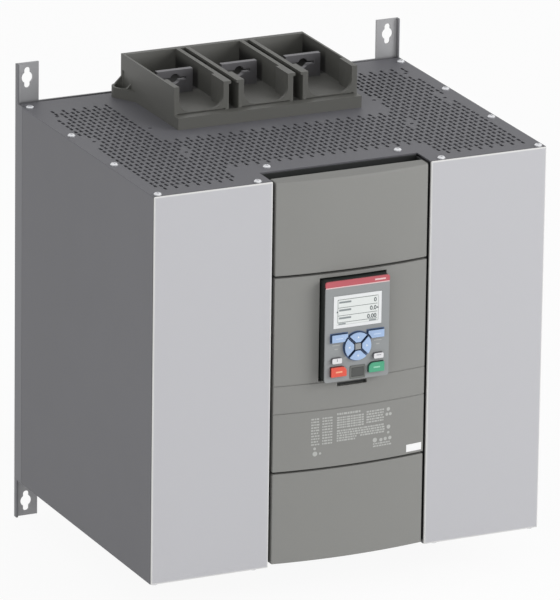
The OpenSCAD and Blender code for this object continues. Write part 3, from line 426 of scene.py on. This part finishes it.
case_paint = finish("case_paint", linear(108, 108, 112), 0.55, grain=0.25, grain_size=1400,
                    mottle=0.02)
# A darker copy of case_paint for the top sheet: painted shade on the top.
top_shaded_paint = finish("top_shaded_paint", linear(100, 100, 105), 0.55, grain=0.25, grain_size=1400,
                   mottle=0.02)
# The second colour is painted shade on the returns, the third a painted highlight on the bends.
panel_paint = panel_shade_and_highlight_finish("panel_paint", linear(193, 193, 197), linear(40, 40, 41),
                           linear(232, 232, 230))
# The second colour, on the ear faces, is zinc and partly a painted reflection.
frame_paint = ear_zinc_and_reflection_finish("frame_paint", linear(116, 116, 120), linear(172, 172, 174))
zinc = finish("zinc", linear(205, 206, 208), 0.3, metal=0.85, grain=0.2, mottle=0.08,
              mottle_size=60)
cover_plastic = finish("cover_plastic", linear(137, 137, 134), 0.6, grain=0.35,
                       grain_size=1800, mottle=0.012)
# The second colour is painted shade low down behind the busbars.
shroud_plastic = shroud_painted_shade_finish("shroud_plastic", linear(92, 92, 88), linear(34, 34, 33))
black_plastic = finish("black_plastic", linear(28, 30, 30), 0.55, grain=0.3, mottle=0.05)
housing_plastic = finish("housing_plastic", linear(30, 35, 33), 0.5, grain=0.3, mottle=0.04)
# The second colour, in the bed around the blue keys, is partly painted shade.
pad_plastic = bedded_face("pad_plastic", linear(147, 150, 151), linear(82, 102, 136),
                          linear(104, 106, 103))
flap_plastic = finish("flap_plastic", linear(74, 76, 74), 0.5, grain=0.2, mottle=0.02)
strip_gloss = finish("strip_gloss", linear(190, 84, 94), 0.3, coat=0.4, mottle=0.03)
edge_pale = finish("edge_pale", linear(232, 200, 200), 0.35, mottle=0.02)
white_plastic = finish("white_plastic", linear(235, 237, 238), 0.4, grain=0.1, mottle=0.01)
screen = finish("screen", linear(230, 234, 232), 0.15, coat=0.3, mottle=0.01)
ink = finish("ink", linear(84, 92, 94), 0.4, mottle=0.05, mottle_size=300)
pale_ink = finish("pale_ink", linear(140, 147, 148), 0.4, mottle=0.03, mottle_size=300)
print_ink = finish("print_ink", linear(180, 181, 178), 0.6, mottle=0.03, mottle_size=200)
# Each key's second colour is a darker copy of its cap colour: painted shade on the key's sides.
blue_key = capped_key("blue_key", linear(166, 192, 228), linear(58, 78, 108))
white_key = capped_key("white_key", linear(228, 228, 230), linear(110, 108, 112))
red_key = capped_key("red_key", linear(226, 84, 64), linear(120, 44, 40))
green_key = capped_key("green_key", linear(74, 166, 128), linear(26, 76, 60))
mark_blue = finish("mark_blue", linear(196, 214, 240), 0.4, mottle=0.02)
mark_grey = finish("mark_grey", linear(168, 168, 172), 0.4, mottle=0.02)
mark_pink = finish("mark_pink", linear(246, 176, 140), 0.4, mottle=0.02)
mark_green = finish("mark_green", linear(150, 210, 182), 0.4, mottle=0.02)
mark_white = finish("mark_white", linear(222, 230, 240), 0.4, mottle=0.02)
bright_zinc = finish("bright_zinc", linear(232, 233, 236), 0.22, metal=0.6, mottle=0.04,
                     mottle_size=200)
tinned = finish("tinned", linear(112, 111, 114), 0.45, metal=0.6, grain=0.3, grain_size=400,
                mottle=0.06, mottle_size=40, stretch=(1, 1, 0.1))
aluminium = finish("aluminium", linear(178, 179, 181), 0.4, metal=0.85, grain=0.3,
                   grain_size=500, mottle=0.03, stretch=(1, 1, 0.05))
ceramic = finish("ceramic", linear(222, 218, 206), 0.25, coat=0.4, mottle=0.02)
board_green = finish("board_green", linear(30, 92, 58), 0.35, coat=0.3, mottle=0.15,
                     mottle_size=120)
label_paper = finish("label_paper", linear(248, 248, 248), 0.6, mottle=0.01)


# Every solid of the frame gets its finish

FINISHES = {
    frame_paint: ("chassis",),
    case_paint: ("side_left", "side_right", "top_cover", "bottom_cover"),
    panel_paint: ("front_left", "front_right"),
    zinc: ("sink_rails", "tie_straps", "partition", "port_socket", "clamp_bolts"),
    bright_zinc: ("top_screws", "bottom_screws", "shroud_screws"),
    cover_plastic: ("upper_cover", "middle_cover", "lower_cover"),
    shroud_plastic: ("line_shroud", "load_shroud"),
    black_plastic: ("bay_tray", "current_sensors", "bypass_1", "bypass_2",
                    "bypass_3", "fan_frame_1", "fan_frame_2", "fan_frame_3",
                    "fan_rotor_1", "fan_rotor_2", "fan_rotor_3"),
    housing_plastic: ("pad_housing",),
    pad_plastic: ("pad_face",),
    flap_plastic: ("port_flap",),
    strip_gloss: ("pad_strip",),
    white_plastic: ("display_frame",),
    screen: ("display_glass",),
    blue_key: ("soft_key_left", "soft_key_right", "nav_up", "nav_left", "nav_down",
               "nav_right"),
    white_key: ("info_key", "local_key"),
    red_key: ("stop_key",),
    green_key: ("start_key",),
    tinned: ("line_bars", "load_bars"),
    aluminium: ("rear_sinks", "front_sinks"),
    ceramic: ("thyristors",),
    board_green: ("control_board", "board_parts", "pad_board"),
    label_paper: ("blank_label",),
}
for material, names in FINISHES.items():
    for name in names:
        for place in NODES[name].material_slots:
            place.material = material


def place_on(piece, body, slot, material, *nodes):
    """Gives a finished piece its body, its material and the solids that it stands for."""
    piece.data.materials.clear()
    piece.data.materials.append(material)
    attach(piece, body)
    if nodes:
        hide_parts(*nodes)
    return piece


def skin(name, width, segments=2):
    """Copy of a solid's mesh, merged, with its sharp edges rounded."""
    activate(NODES[name])
    bpy.ops.object.duplicate()
    piece = bpy.context.object
    piece.name = name + "_skin"
    bpy.ops.object.parent_clear(type="CLEAR_KEEP_TRANSFORM")
    settle(piece)
    bpy.ops.object.mode_set(mode="EDIT")
    bpy.ops.mesh.select_all(action="SELECT")
    bpy.ops.mesh.remove_doubles(threshold=MM / 100)
    bpy.ops.mesh.dissolve_limited(angle_limit=math.radians(0.5))
    leave_edit()
    return round_edges(piece, width, segments)


# Perforated top

# Columns of slots run from front to rear. Each slot is a pair with a short bridge between.
SLOT_DX = 6.02
SLOT_DY = 20.7
SLOT_W = 3.1
SLOT_L = 7.8
SLOT_BRIDGE = 1.5
PAIR_L = 2 * SLOT_L + SLOT_BRIDGE
COLUMNS = 68
FIELD_FRONT_Y = -328.0
FIELD_REAR_Y = -41.0
BAY_CLEAR_X = (-114.0, 111.0)
BAY_CLEAR_Y = -287.0
SHROUD_CLEAR_X = (-131.0, 129.0)
SHROUD_CLEAR_Y = -176.0
FIXINGS = [(side * x, y) for side in (-1, 1)
           for x, y in ((126.3, -222.5), (126.3, -134.0), (197.5, -154.5), (197.5, -61.5))]
FIXING_R = 2.2
FIXING_CLEAR = (5, 11)
FIELD_SLACK = 0.5
RAIL_Y = -18.5
REAR_Y = -7.0
TERMINAL_X = (-72.4, 0.0, 72.4)
WINDOW_HALF = 23
WINDOW_Y = (-79, -67)
SHEET_GAP = 0.5
CUT_LOW = HALF_H - 4
CUT_HIGH = HALF_H + 2


def slot_runs(x, shift):
    """First place and count of each unbroken run of slot pairs in one column."""
    front = BAY_CLEAR_Y if BAY_CLEAR_X[0] < x < BAY_CLEAR_X[1] else FIELD_FRONT_Y
    rear = SHROUD_CLEAR_Y if SHROUD_CLEAR_X[0] < x < SHROUD_CLEAR_X[1] else FIELD_REAR_Y
    runs = []
    open_run = False
    y = FIELD_FRONT_Y + PAIR_L / 2 + shift
    while y + PAIR_L / 2 < rear + FIELD_SLACK:
        free = y - PAIR_L / 2 > front - FIELD_SLACK and not any(
            abs(x - spot[0]) < FIXING_CLEAR[0] and abs(y - spot[1]) < FIXING_CLEAR[1]
            for spot in FIXINGS)
        if free and open_run:
            runs[-1][1] += 1
        elif free:
            runs.append([y, 1])
        open_run = free
        y += SLOT_DY
    return runs


def perforated_top():
    """Top sheet with its slots, windows for the busbars and notch over the covers."""
    piece = block("perforated_top", (-HALF_W, FRONT_Y + PANEL + SHEET_GAP, HALF_H - SHEET),
                  (HALF_W, REAR_Y, HALF_H))
    cutters = [block("notch", (-BAY_HALF, FRONT_Y - 1, CUT_LOW),
                     (BAY_HALF, BAY_BACK_Y, CUT_HIGH))]
    for side in (-1, 1):
        ends = sorted((side * (HALF_W - PANEL - SHEET_GAP), side * (HALF_W + 1)))
        cutters.append(block("corner", (ends[0], RAIL_Y, CUT_LOW),
                             (ends[1], REAR_Y + 1, CUT_HIGH)))
    for x in TERMINAL_X:
        cutters.append(block("bar_window", (x - WINDOW_HALF, WINDOW_Y[0], CUT_LOW),
                             (x + WINDOW_HALF, WINDOW_Y[1], CUT_HIGH)))
    first = join("slot_pair", [
        round_block("slot", (-SLOT_W / 2, middle_y - SLOT_L / 2, CUT_LOW),
                    (SLOT_W / 2, middle_y + SLOT_L / 2, CUT_HIGH), SLOT_W / 2 - 0.05,
                    upright_edges, segments=3)
        for middle_y in (-(SLOT_L + SLOT_BRIDGE) / 2, (SLOT_L + SLOT_BRIDGE) / 2)])
    for c in range(COLUMNS):
        x = (c - COLUMNS / 2 + 0.5) * SLOT_DX
        for y, count in slot_runs(x, 0.0 if c % 2 else 0.5 * SLOT_DY):
            activate(first)
            bpy.ops.object.duplicate()
            column = bpy.context.object
            column.location = (x * MM, y * MM, 0)
            settle(column)
            modify(column, "ARRAY", count=count, use_relative_offset=False,
                   use_constant_offset=True, constant_offset_displace=(0, SLOT_DY * MM, 0))
            cutters.append(column)
    cutters += [rod("fixing", (x, y, HALF_H), FIXING_R, 8, 16) for x, y in FIXINGS]
    bpy.data.objects.remove(first)
    cut(piece, join("openings", cutters), "MANIFOLD")
    return place_on(piece, "case", "grey_paint", top_shaded_paint, "top_cover")


perforated_top()


# Sheet-metal front panels

PANEL_ROUND = EDGE_R - 0.4
BAY_FOLD_Y = FRONT_Y + 31
FOLD_Y = FRONT_Y + 16
BAY_FOLD_INSET = 3
SIDE_FOLD_INSET = 3.5
END_FOLD_INSET = 2.25
END_FOLD_SHORT = 16


def front_panel(name, side, node):
    """Panel with rounded edges and its folded returns."""
    near, far = sorted((side * BAY_HALF, side * HALF_W))
    face = block(name, (near, FRONT_Y, -HALF_H), (far, FRONT_Y + PANEL, HALF_H))
    round_edges(face, PANEL_ROUND, segments=4)
    low, high = sorted((side * BAY_HALF, side * (BAY_HALF + SHEET)))
    bay_fold = block("bay_fold", (low, FRONT_Y + PANEL, -HALF_H + BAY_FOLD_INSET),
                     (high, BAY_FOLD_Y, HALF_H - BAY_FOLD_INSET))
    low, high = sorted((side * (HALF_W - SIDE_FOLD_INSET),
                        side * (HALF_W - SIDE_FOLD_INSET + SHEET)))
    side_fold = block("side_fold", (low, FRONT_Y + PANEL, -HALF_H + SIDE_FOLD_INSET),
                      (high, FOLD_Y, HALF_H - SIDE_FOLD_INSET))
    low, high = sorted((side * BAY_HALF, side * (HALF_W - END_FOLD_SHORT)))
    folds = [block("end_fold", (low, FRONT_Y + PANEL, z - SHEET / 2),
                   (high, FOLD_Y, z + SHEET / 2))
             for z in (-HALF_H + END_FOLD_INSET, HALF_H - END_FOLD_INSET)]
    piece = join(name, [face, bay_fold, side_fold] + folds)
    return place_on(piece, "case", "light_paint", panel_paint, node)


front_panel("front_panel_left", -1, "front_left")
front_panel("front_panel_right", 1, "front_right")


# Bowed plastic covers

def bowed_block(name, low_z, high_z, front_off=0.0, back_y=COVER_BACK_Y, half=COVER_HALF):
    """Slice of a large upright cylinder, cut flat at both sides and at the back."""
    deselect()
    bpy.ops.mesh.primitive_cylinder_add(
        vertices=720, radius=(BOW_R + front_off) * MM, depth=(high_z - low_z) * MM,
        location=(0, BOW_Y * MM, (low_z + high_z) / 2 * MM))
    piece = bpy.context.object
    piece.name = name
    settle(piece)
    bpy.ops.object.mode_set(mode="EDIT")
    for point, normal in (((half, 0, 0), (1, 0, 0)), ((-half, 0, 0), (-1, 0, 0)),
                          ((0, back_y, 0), (0, 1, 0))):
        bpy.ops.mesh.select_all(action="SELECT")
        bpy.ops.mesh.bisect(plane_co=[v * MM for v in point], plane_no=normal,
                            use_fill=True, clear_outer=True, clear_inner=False)
    leave_edit()
    return piece


# Heights of the covers' seams, grooves and latch, read from the case's lower edge
COVER_TOP_Z = HALF_H - 1.4
SEAM_HIGH_Z = 308 - HALF_H
SEAM_LOW_Z = 100.2 - HALF_H
COVER_LOW_Z = -HALF_H + 2.8
GROOVES_Z = (192.6 - HALF_H, 163 - HALF_H)
LATCH_Z = 189 - HALF_H
SEAM_GAP = 1.2
TOP_BEVEL = 2.6
COVER_ROUND = 1.0
GROOVE_HALF = 0.5
GROOVE_DEPTH = 0.9
POCKET_HALF_W = PAD_HALF_W + 1.4
POCKET_HALF_H = PAD_HALF_H + 1.4
LATCH_HALF_W = 16

upper = bowed_block("upper_cover_skin", SEAM_HIGH_Z + SEAM_GAP, COVER_TOP_Z)
select_edges(upper, lambda a, b: min(a.z, b.z) > COVER_TOP_Z - SAME_PLACE
             and max(a.y, b.y) < FRONT_Y + 0.5)
bpy.ops.mesh.bevel(offset=TOP_BEVEL * MM, segments=5, affect="EDGES")
leave_edit()
round_edges(upper, COVER_ROUND, segments=3)
place_on(upper, "case", "cover_plastic", cover_plastic, "upper_cover")

lower = bowed_block("lower_cover_skin", COVER_LOW_Z, SEAM_LOW_Z - SEAM_GAP)
round_edges(lower, COVER_ROUND, segments=3)
place_on(lower, "case", "cover_plastic", cover_plastic, "lower_cover")


def middle_cover():
    """Cover with two grooves, the keypad's pocket, its plug opening and the latch."""
    piece = bowed_block("middle_cover_skin", SEAM_LOW_Z + SEAM_GAP, SEAM_HIGH_Z - SEAM_GAP)
    for z in GROOVES_Z:
        ring = bowed_block("groove", z - GROOVE_HALF, z + GROOVE_HALF, front_off=2,
                           half=COVER_HALF + 2, back_y=FRONT_Y + 5)
        cut(ring, bowed_block("groove_core", z - 2, z + 2, front_off=-GROOVE_DEPTH,
                              half=COVER_HALF + 4, back_y=FRONT_Y + 8))
        cut(piece, ring)
    cut(piece, block("pocket", (-POCKET_HALF_W, FRONT_Y - 10, PAD_Z - POCKET_HALF_H),
                     (POCKET_HALF_W, PAD_REAR_Y + 0.3, PAD_Z + POCKET_HALF_H)))
    cut(piece, block("latch", (-LATCH_HALF_W - 0.5, FRONT_Y - 10, LATCH_Z - 2.6),
                     (LATCH_HALF_W + 0.5, FRONT_Y - 2, LATCH_Z + 1.4)))
    cut(piece, block("plug", (-15, PAD_REAR_Y - 2, PAD_Z - 6),
                     (15, COVER_BACK_Y + 2, PAD_Z + 6)))
    round_edges(piece, 0.6, segments=2, angle=50)
    return place_on(piece, "case", "cover_plastic", cover_plastic, "middle_cover")


middle = middle_cover()

# Black plate at the bottom of the latch recess: painted shade in the recess.
latch = block("latch_recess_shade", (-LATCH_HALF_W, FRONT_Y - 3.2, LATCH_Z - 2.2),
              (LATCH_HALF_W, FRONT_Y - 1.6, LATCH_Z + 1.2))
round_edges(latch, 0.4)
place_on(latch, "case", "black_plastic", black_plastic)


# Webs that stiffen the shrouds' screw lugs

SHROUD_HALF = 103.2
LUG_TOP = HALF_H + 11.0
WEB_SINK = 0.5
WEBS = (
    # place in depth, thickness, width and height
    (-11.6, 2.2, 7.5, 9.5),
    (-35.0, 2.0, 5.0, 6.0),
)


def lug_web(side, level, y, thick, wide, tall):
    """Three-cornered web between the shroud's side and its lug."""
    x0, x1 = sorted((side * (SHROUD_HALF - WEB_SINK), side * (SHROUD_HALF + wide)))
    z0, z1 = sorted((level * (LUG_TOP - WEB_SINK), level * (LUG_TOP + tall)))
    web = block("lug_web", (x0, y, z0), (x1, y + thick, z1))
    activate(web)
    bpy.ops.object.mode_set(mode="EDIT")
    bpy.ops.mesh.select_all(action="SELECT")
    bpy.ops.mesh.bisect(plane_co=(side * (SHROUD_HALF + wide) * MM, 0, level * LUG_TOP * MM),
                        plane_no=(side * tall, 0, level * wide), use_fill=True,
                        clear_outer=True)
    leave_edit()
    return web


lug_webs = [lug_web(side, level, *web)
            for side in (-1, 1) for level in (-1, 1) for web in WEBS]
place_on(join("lug_webs", lug_webs), "case", "shroud_plastic", shroud_plastic)


# Moulded and punched pieces whose edges catch the light

for name, slot, material, width in (
        ("line_shroud", "shroud_plastic", shroud_plastic, 0.7),
        ("load_shroud", "shroud_plastic", shroud_plastic, 0.7),
        ("line_bars", "tinned_copper", tinned, 0.4),
        ("load_bars", "tinned_copper", tinned, 0.4),
        ("chassis", "grey_paint", frame_paint, 0.3)):
    place_on(skin(name, width), "case", slot, material, name)

for slot, material, width in (("blue_key", blue_key, 0.4), ("white_key", white_key, 0.4),
                              ("red_key", red_key, 0.5), ("green_key", green_key, 0.5)):
    for name in FINISHES[material]:
        place_on(skin(name, width), "key_" + name, slot, material, name)


# Print on the middle cover, kept to plain dashes

PRINT_COLUMNS = (
    # left and right ends, the rows' places from the bottom, and the height of a row
    (-44, -35, (154, 151, 148, 145, 142, 139, 136, 133, 130, 127), 1.6),
    (-32, -21, (154, 151, 148, 145, 142, 139, 136, 133, 130, 127), 1.6),
    (-16, 10, (156.6,), 2.2),
    (-16, 14, (152.6, 150, 147.4, 144.8, 142.2), 1.7),
    (17, 37, (154.6, 151.8, 149, 146.2, 143.4), 1.7),
    (-16, 38, (138.6, 136, 133.4), 1.7),
    (-16, 6, (130.8, 128.2), 1.7),
    (10, 38, (130.8,), 1.7),
    (25, 46, (119, 116.4), 1.5),
)
PRINT_MARKS = (
    # middle and radius of each symbol, which is kept to a plain disc
    (42, 154, 2.0), (40.4, 148.6, 1.7), (44.4, 148.6, 1.7), (42.6, 135, 2.2), (42.4, 129, 1.4),
    (27, 123, 2.5), (34, 122.4, 1.9), (39, 122.8, 1.9), (44.4, 123, 1.9),
    (-40, 122.6, 1.5), (-39.6, 117, 2.6), (-34, 117, 1.3),
)
WORD_SHARES = (0.21, 0.12, 0.17, 0.09, 0.26, 0.14, 0.19, 0.11, 0.23, 0.16)
WORD_REACH = 14.0
WORD_GAP = 0.7
PRINT_START_Y = FRONT_Y - 9
PRINT_LIFT = 0.05


def print_patch(x, z, half_w, half_h):
    """Flat dash in front of the cover."""
    deselect()
    bpy.ops.mesh.primitive_plane_add(
        size=1, location=(x * MM, PRINT_START_Y * MM, (z - HALF_H) * MM),
        rotation=(math.pi / 2, 0, 0))
    patch = bpy.context.object
    patch.scale = (2 * half_w * MM, 2 * half_h * MM, 1)
    return settle(patch)


def print_disc(x, z, radius):
    """Flat disc in front of the cover."""
    deselect()
    bpy.ops.mesh.primitive_circle_add(
        vertices=12, radius=radius * MM, fill_type="TRIFAN", rotation=(math.pi / 2, 0, 0),
        location=(x * MM, PRINT_START_Y * MM, (z - HALF_H) * MM))
    return settle(bpy.context.object)


def print_field():
    """Rows of short plain dashes with the rhythm of words, laid on the bowed cover."""
    patches = [print_disc(*mark) for mark in PRINT_MARKS]
    word = 0
    for left, right, rows, height in PRINT_COLUMNS:
        for z in rows:
            x = left
            while x < right - 1:
                end = min(right, x + WORD_SHARES[word % len(WORD_SHARES)] * WORD_REACH)
                patches.append(print_patch((x + end) / 2, z, (end - x) / 2, height / 2))
                x = end + WORD_GAP
                word += 1
    piece = join("print_field", patches)
    modify(piece, "SHRINKWRAP", wrap_method="PROJECT", use_project_y=True,
           use_positive_direction=True, use_negative_direction=True,
           target=middle, offset=PRINT_LIFT * MM)
    return place_on(piece, "case", "cover_plastic", print_ink)


print_field()


# Keypad display

LCD_Z = PAD_Z + 20.2
INK_Y = PAD_Y - 0.03
LINE_HALF = 22
LINES = (12.6, 4.2, -4.2, -11.4)
LINE_T = 0.5
BRACKET_T = 0.4
ARROW_X = 22.4
LABELS = (9, 0.7, -7.6)
FOOT_LABELS = ((-21, -13), (13, 21))
FIGURES = (("0", 6.6), ("0.0", -1.8), ("0.00", -10.2))


def ink_block(x0, x1, z0, z1):
    """Flat mark on the display between two sides and two heights."""
    return block("ink", (x0, INK_Y, z0), (x1, PAD_Y + 0.1, z1))


def digits(words, right, low, height):
    """Plain digits that end at the right-hand edge given."""
    deselect()
    bpy.ops.object.text_add(rotation=(math.pi / 2, 0, 0),
                            location=(right * MM, INK_Y * MM, low * MM))
    figure = bpy.context.object
    figure.data.body = words
    figure.data.size = height * 1.38 * MM
    figure.data.align_x = "RIGHT"
    figure.data.extrude = 0.02 * MM
    figure.data.offset = 0.16 * MM
    figure.data.resolution_u = 4
    bpy.ops.object.convert(target="MESH")
    return settle(bpy.context.object)


def display_picture():
    """Lines, arrows, plain dashes for words and plain zeros."""
    lines = [ink_block(-LINE_HALF, LINE_HALF, LCD_Z + z, LCD_Z + z + LINE_T) for z in LINES]
    labels = [ink_block(-20.5, -7, LCD_Z + z, LCD_Z + z + 2.0) for z in LABELS]
    labels += [ink_block(*ends, LCD_Z - 13.4, LCD_Z - 11.9) for ends in FOOT_LABELS]
    place_on(join("display_labels", labels), "keypad", "frame_plastic", pale_ink)
    rows = [digits(words, 21.2, LCD_Z + z, 4.4) for words, z in FIGURES]
    arrows = []
    for side in (-1, 1):
        deselect()
        bpy.ops.mesh.primitive_cylinder_add(
            vertices=3, radius=1.3 * MM, depth=0.13 * MM,
            rotation=(math.pi / 2, 0, 0),
            location=(side * ARROW_X * MM, (PAD_Y + 0.035) * MM, LCD_Z * MM))
        arrows.append(settle(bpy.context.object))
    bracket = [ink_block(-LINE_HALF, -LINE_HALF + BRACKET_T, LCD_Z + LINES[-1],
                         LCD_Z + LINES[0])]
    place_on(join("display_digits", rows + arrows + lines + bracket), "keypad",
             "frame_plastic", ink)


display_picture()

PAD_TOP_Z = PAD_Z + PAD_HALF_H
strip_edge = block("strip_edge", (-PAD_HALF_W + 0.3, PAD_Y - 0.12, PAD_TOP_Z - 7.2),
                   (PAD_HALF_W - 0.3, PAD_Y + 0.4, PAD_TOP_Z - 6.2))
strip_dash = block("strip_dash", (19, PAD_Y - 0.05, PAD_TOP_Z - 4.2),
                   (31, PAD_Y + 0.1, PAD_TOP_Z - 2.6))
place_on(join("strip_edge", [strip_edge, strip_dash]), "keypad", "strip_plastic", edge_pale)


# Plain pale marks on the keys, which press with them

ARROW_REACH = 9.6
ARROW_R = 1.5


def key_arrow(key, x, z, turn):
    """Thin triangle on a key's cap."""
    deselect()
    bpy.ops.mesh.primitive_cylinder_add(
        vertices=3, radius=ARROW_R * MM, depth=0.14 * MM,
        rotation=(math.pi / 2, turn, 0),
        location=(x * MM, (CAP_Y + 0.02) * MM, z * MM))
    mark = settle(bpy.context.object)
    mark.name = key + "_mark"
    return place_on(mark, "key_" + key, "white_key", mark_white)


def key_dash(key, x, z, half_w, half_h, material):
    """Thin plain dash on a key's cap."""
    dash = block(key + "_dash", (x - half_w, CAP_Y - 0.05, z - half_h),
                 (x + half_w, CAP_Y + 0.05, z + half_h))
    return place_on(dash, "key_" + key, "white_key", material)


key_arrow("nav_up", 0, NAV_Z + ARROW_REACH, 0)
key_arrow("nav_down", 0, NAV_Z - ARROW_REACH, math.pi)
key_arrow("nav_left", -ARROW_REACH, NAV_Z, -math.pi / 2)
key_arrow("nav_right", ARROW_REACH, NAV_Z, math.pi / 2)
key_dash("soft_key_left", -SOFT_X - 1, SOFT_Z, 4, 0.5, mark_blue)
key_dash("soft_key_right", SOFT_X + 1, SOFT_Z, 4, 0.5, mark_blue)
key_dash("info_key", -SMALL_X, SMALL_Z, 0.5, 1.5, mark_grey)
key_dash("local_key", SMALL_X, SMALL_Z, 2.6, 0.5, mark_grey)
key_dash("stop_key", -RUN_X, RUN_Z, 3.6, 0.8, mark_pink)
key_dash("start_key", RUN_X, RUN_Z, 3.6, 0.8, mark_green)

FACE_MARKS = (
    # half width, lower and upper edge
    (4.2, 29.0, 29.7),
    (1.8, 24.8, 25.7),
)
face_marks = [block("face_mark", (side * SMALL_X - half, PAD_Y - 0.05, low),
                    (side * SMALL_X + half, PAD_Y + 0.05, high))
              for side in (-1, 1) for half, low, high in FACE_MARKS]
place_on(join("face_marks", face_marks), "keypad", "pad_plastic", print_ink)


# Floor, light and camera

FLOOR_Z = -246.6
FLOOR_SIZE = 12
FLOOR_GREY = 0.94
FLOOR_WHITENESS = 0.93
BACKDROP = 1.0
AMBIENT = 0.5
AIM = (0, -0.2, 0)


def shown_white(tree, lit, out_socket, shade):
    """Shows a plain white to the camera, to gloss and to glass, and the lit shader elsewhere."""
    path = tree.nodes.new("ShaderNodeLightPath")
    seen = math_node(tree, "MAXIMUM", path.outputs["Is Camera Ray"],
                     path.outputs["Is Glossy Ray"])
    seen = math_node(tree, "MAXIMUM", seen, path.outputs["Is Transmission Ray"])
    mix = tree.nodes.new("ShaderNodeMixShader")
    tree.links.new(seen, mix.inputs["Fac"])
    tree.links.new(lit, mix.inputs[1])
    tree.links.new(shade, mix.inputs[2])
    tree.links.new(mix.outputs["Shader"], out_socket)


world = bpy.data.worlds.new("studio")
bpy.context.scene.world = world
world.use_nodes = True
sky = world.node_tree
ambient = sky.nodes["Background"]
ambient.inputs["Color"].default_value = (1, 1, 1, 1)
ambient.inputs["Strength"].default_value = AMBIENT
white = sky.nodes.new("ShaderNodeBackground")
white.inputs["Color"].default_value = (1, 1, 1, 1)
white.inputs["Strength"].default_value = BACKDROP
shown_white(sky, ambient.outputs["Background"],
            sky.nodes["World Output"].inputs["Surface"], white.outputs["Background"])

deselect()
bpy.ops.mesh.primitive_plane_add(size=FLOOR_SIZE, location=(0, 0, FLOOR_Z * MM))
floor = bpy.context.object
floor.name = "floor"
floor_paint = bpy.data.materials.new("floor_paint")
floor_paint.use_nodes = True
near_white = floor_paint.node_tree
matt = near_white.nodes["Principled BSDF"]
matt.inputs["Base Color"].default_value = (FLOOR_GREY, FLOOR_GREY, FLOOR_GREY, 1)
matt.inputs["Roughness"].default_value = 0.9
glow = near_white.nodes.new("ShaderNodeEmission")
glow.inputs["Color"].default_value = (1, 1, 1, 1)
glow.inputs["Strength"].default_value = BACKDROP
faint = near_white.nodes.new("ShaderNodeMixShader")
faint.inputs["Fac"].default_value = FLOOR_WHITENESS
near_white.links.new(matt.outputs["BSDF"], faint.inputs[1])
near_white.links.new(glow.outputs["Emission"], faint.inputs[2])
shown_white(near_white, matt.outputs["BSDF"],
            near_white.nodes["Material Output"].inputs["Surface"], faint.outputs["Shader"])
floor.data.materials.append(floor_paint)


def soft_light(name, place, size, power):
    """Square lamp that is turned towards the case."""
    deselect()
    bpy.ops.object.light_add(type="AREA", location=place)
    lamp = bpy.context.object
    lamp.name = name
    lamp.data.shape = "SQUARE"
    lamp.data.size = size
    lamp.data.energy = power
    lamp.rotation_euler = (Vector(AIM) - Vector(place)).to_track_quat("-Z", "Y").to_euler()


soft_light("key_light", (2.8, -2.8, 1.5), 2.0, 78)
soft_light("fill_light", (-2.6, -2.0, 1.2), 2.4, 18)

CAMERA_PLACE = (-3.31132, -7.16259, 2.59446)
CAMERA_TURN = (71.5613, -0.7567, -25.1238)
bpy.ops.object.camera_add(location=CAMERA_PLACE,
                          rotation=[math.radians(a) for a in CAMERA_TURN])
camera = bpy.context.object
camera.data.sensor_fit = "AUTO"
camera.data.sensor_width = 36.0
camera.data.lens = 477.05
camera.data.clip_start = 0.1
camera.data.clip_end = 100.0
bpy.context.scene.camera = camera
bpy.context.scene.view_settings.view_transform = "Standard"
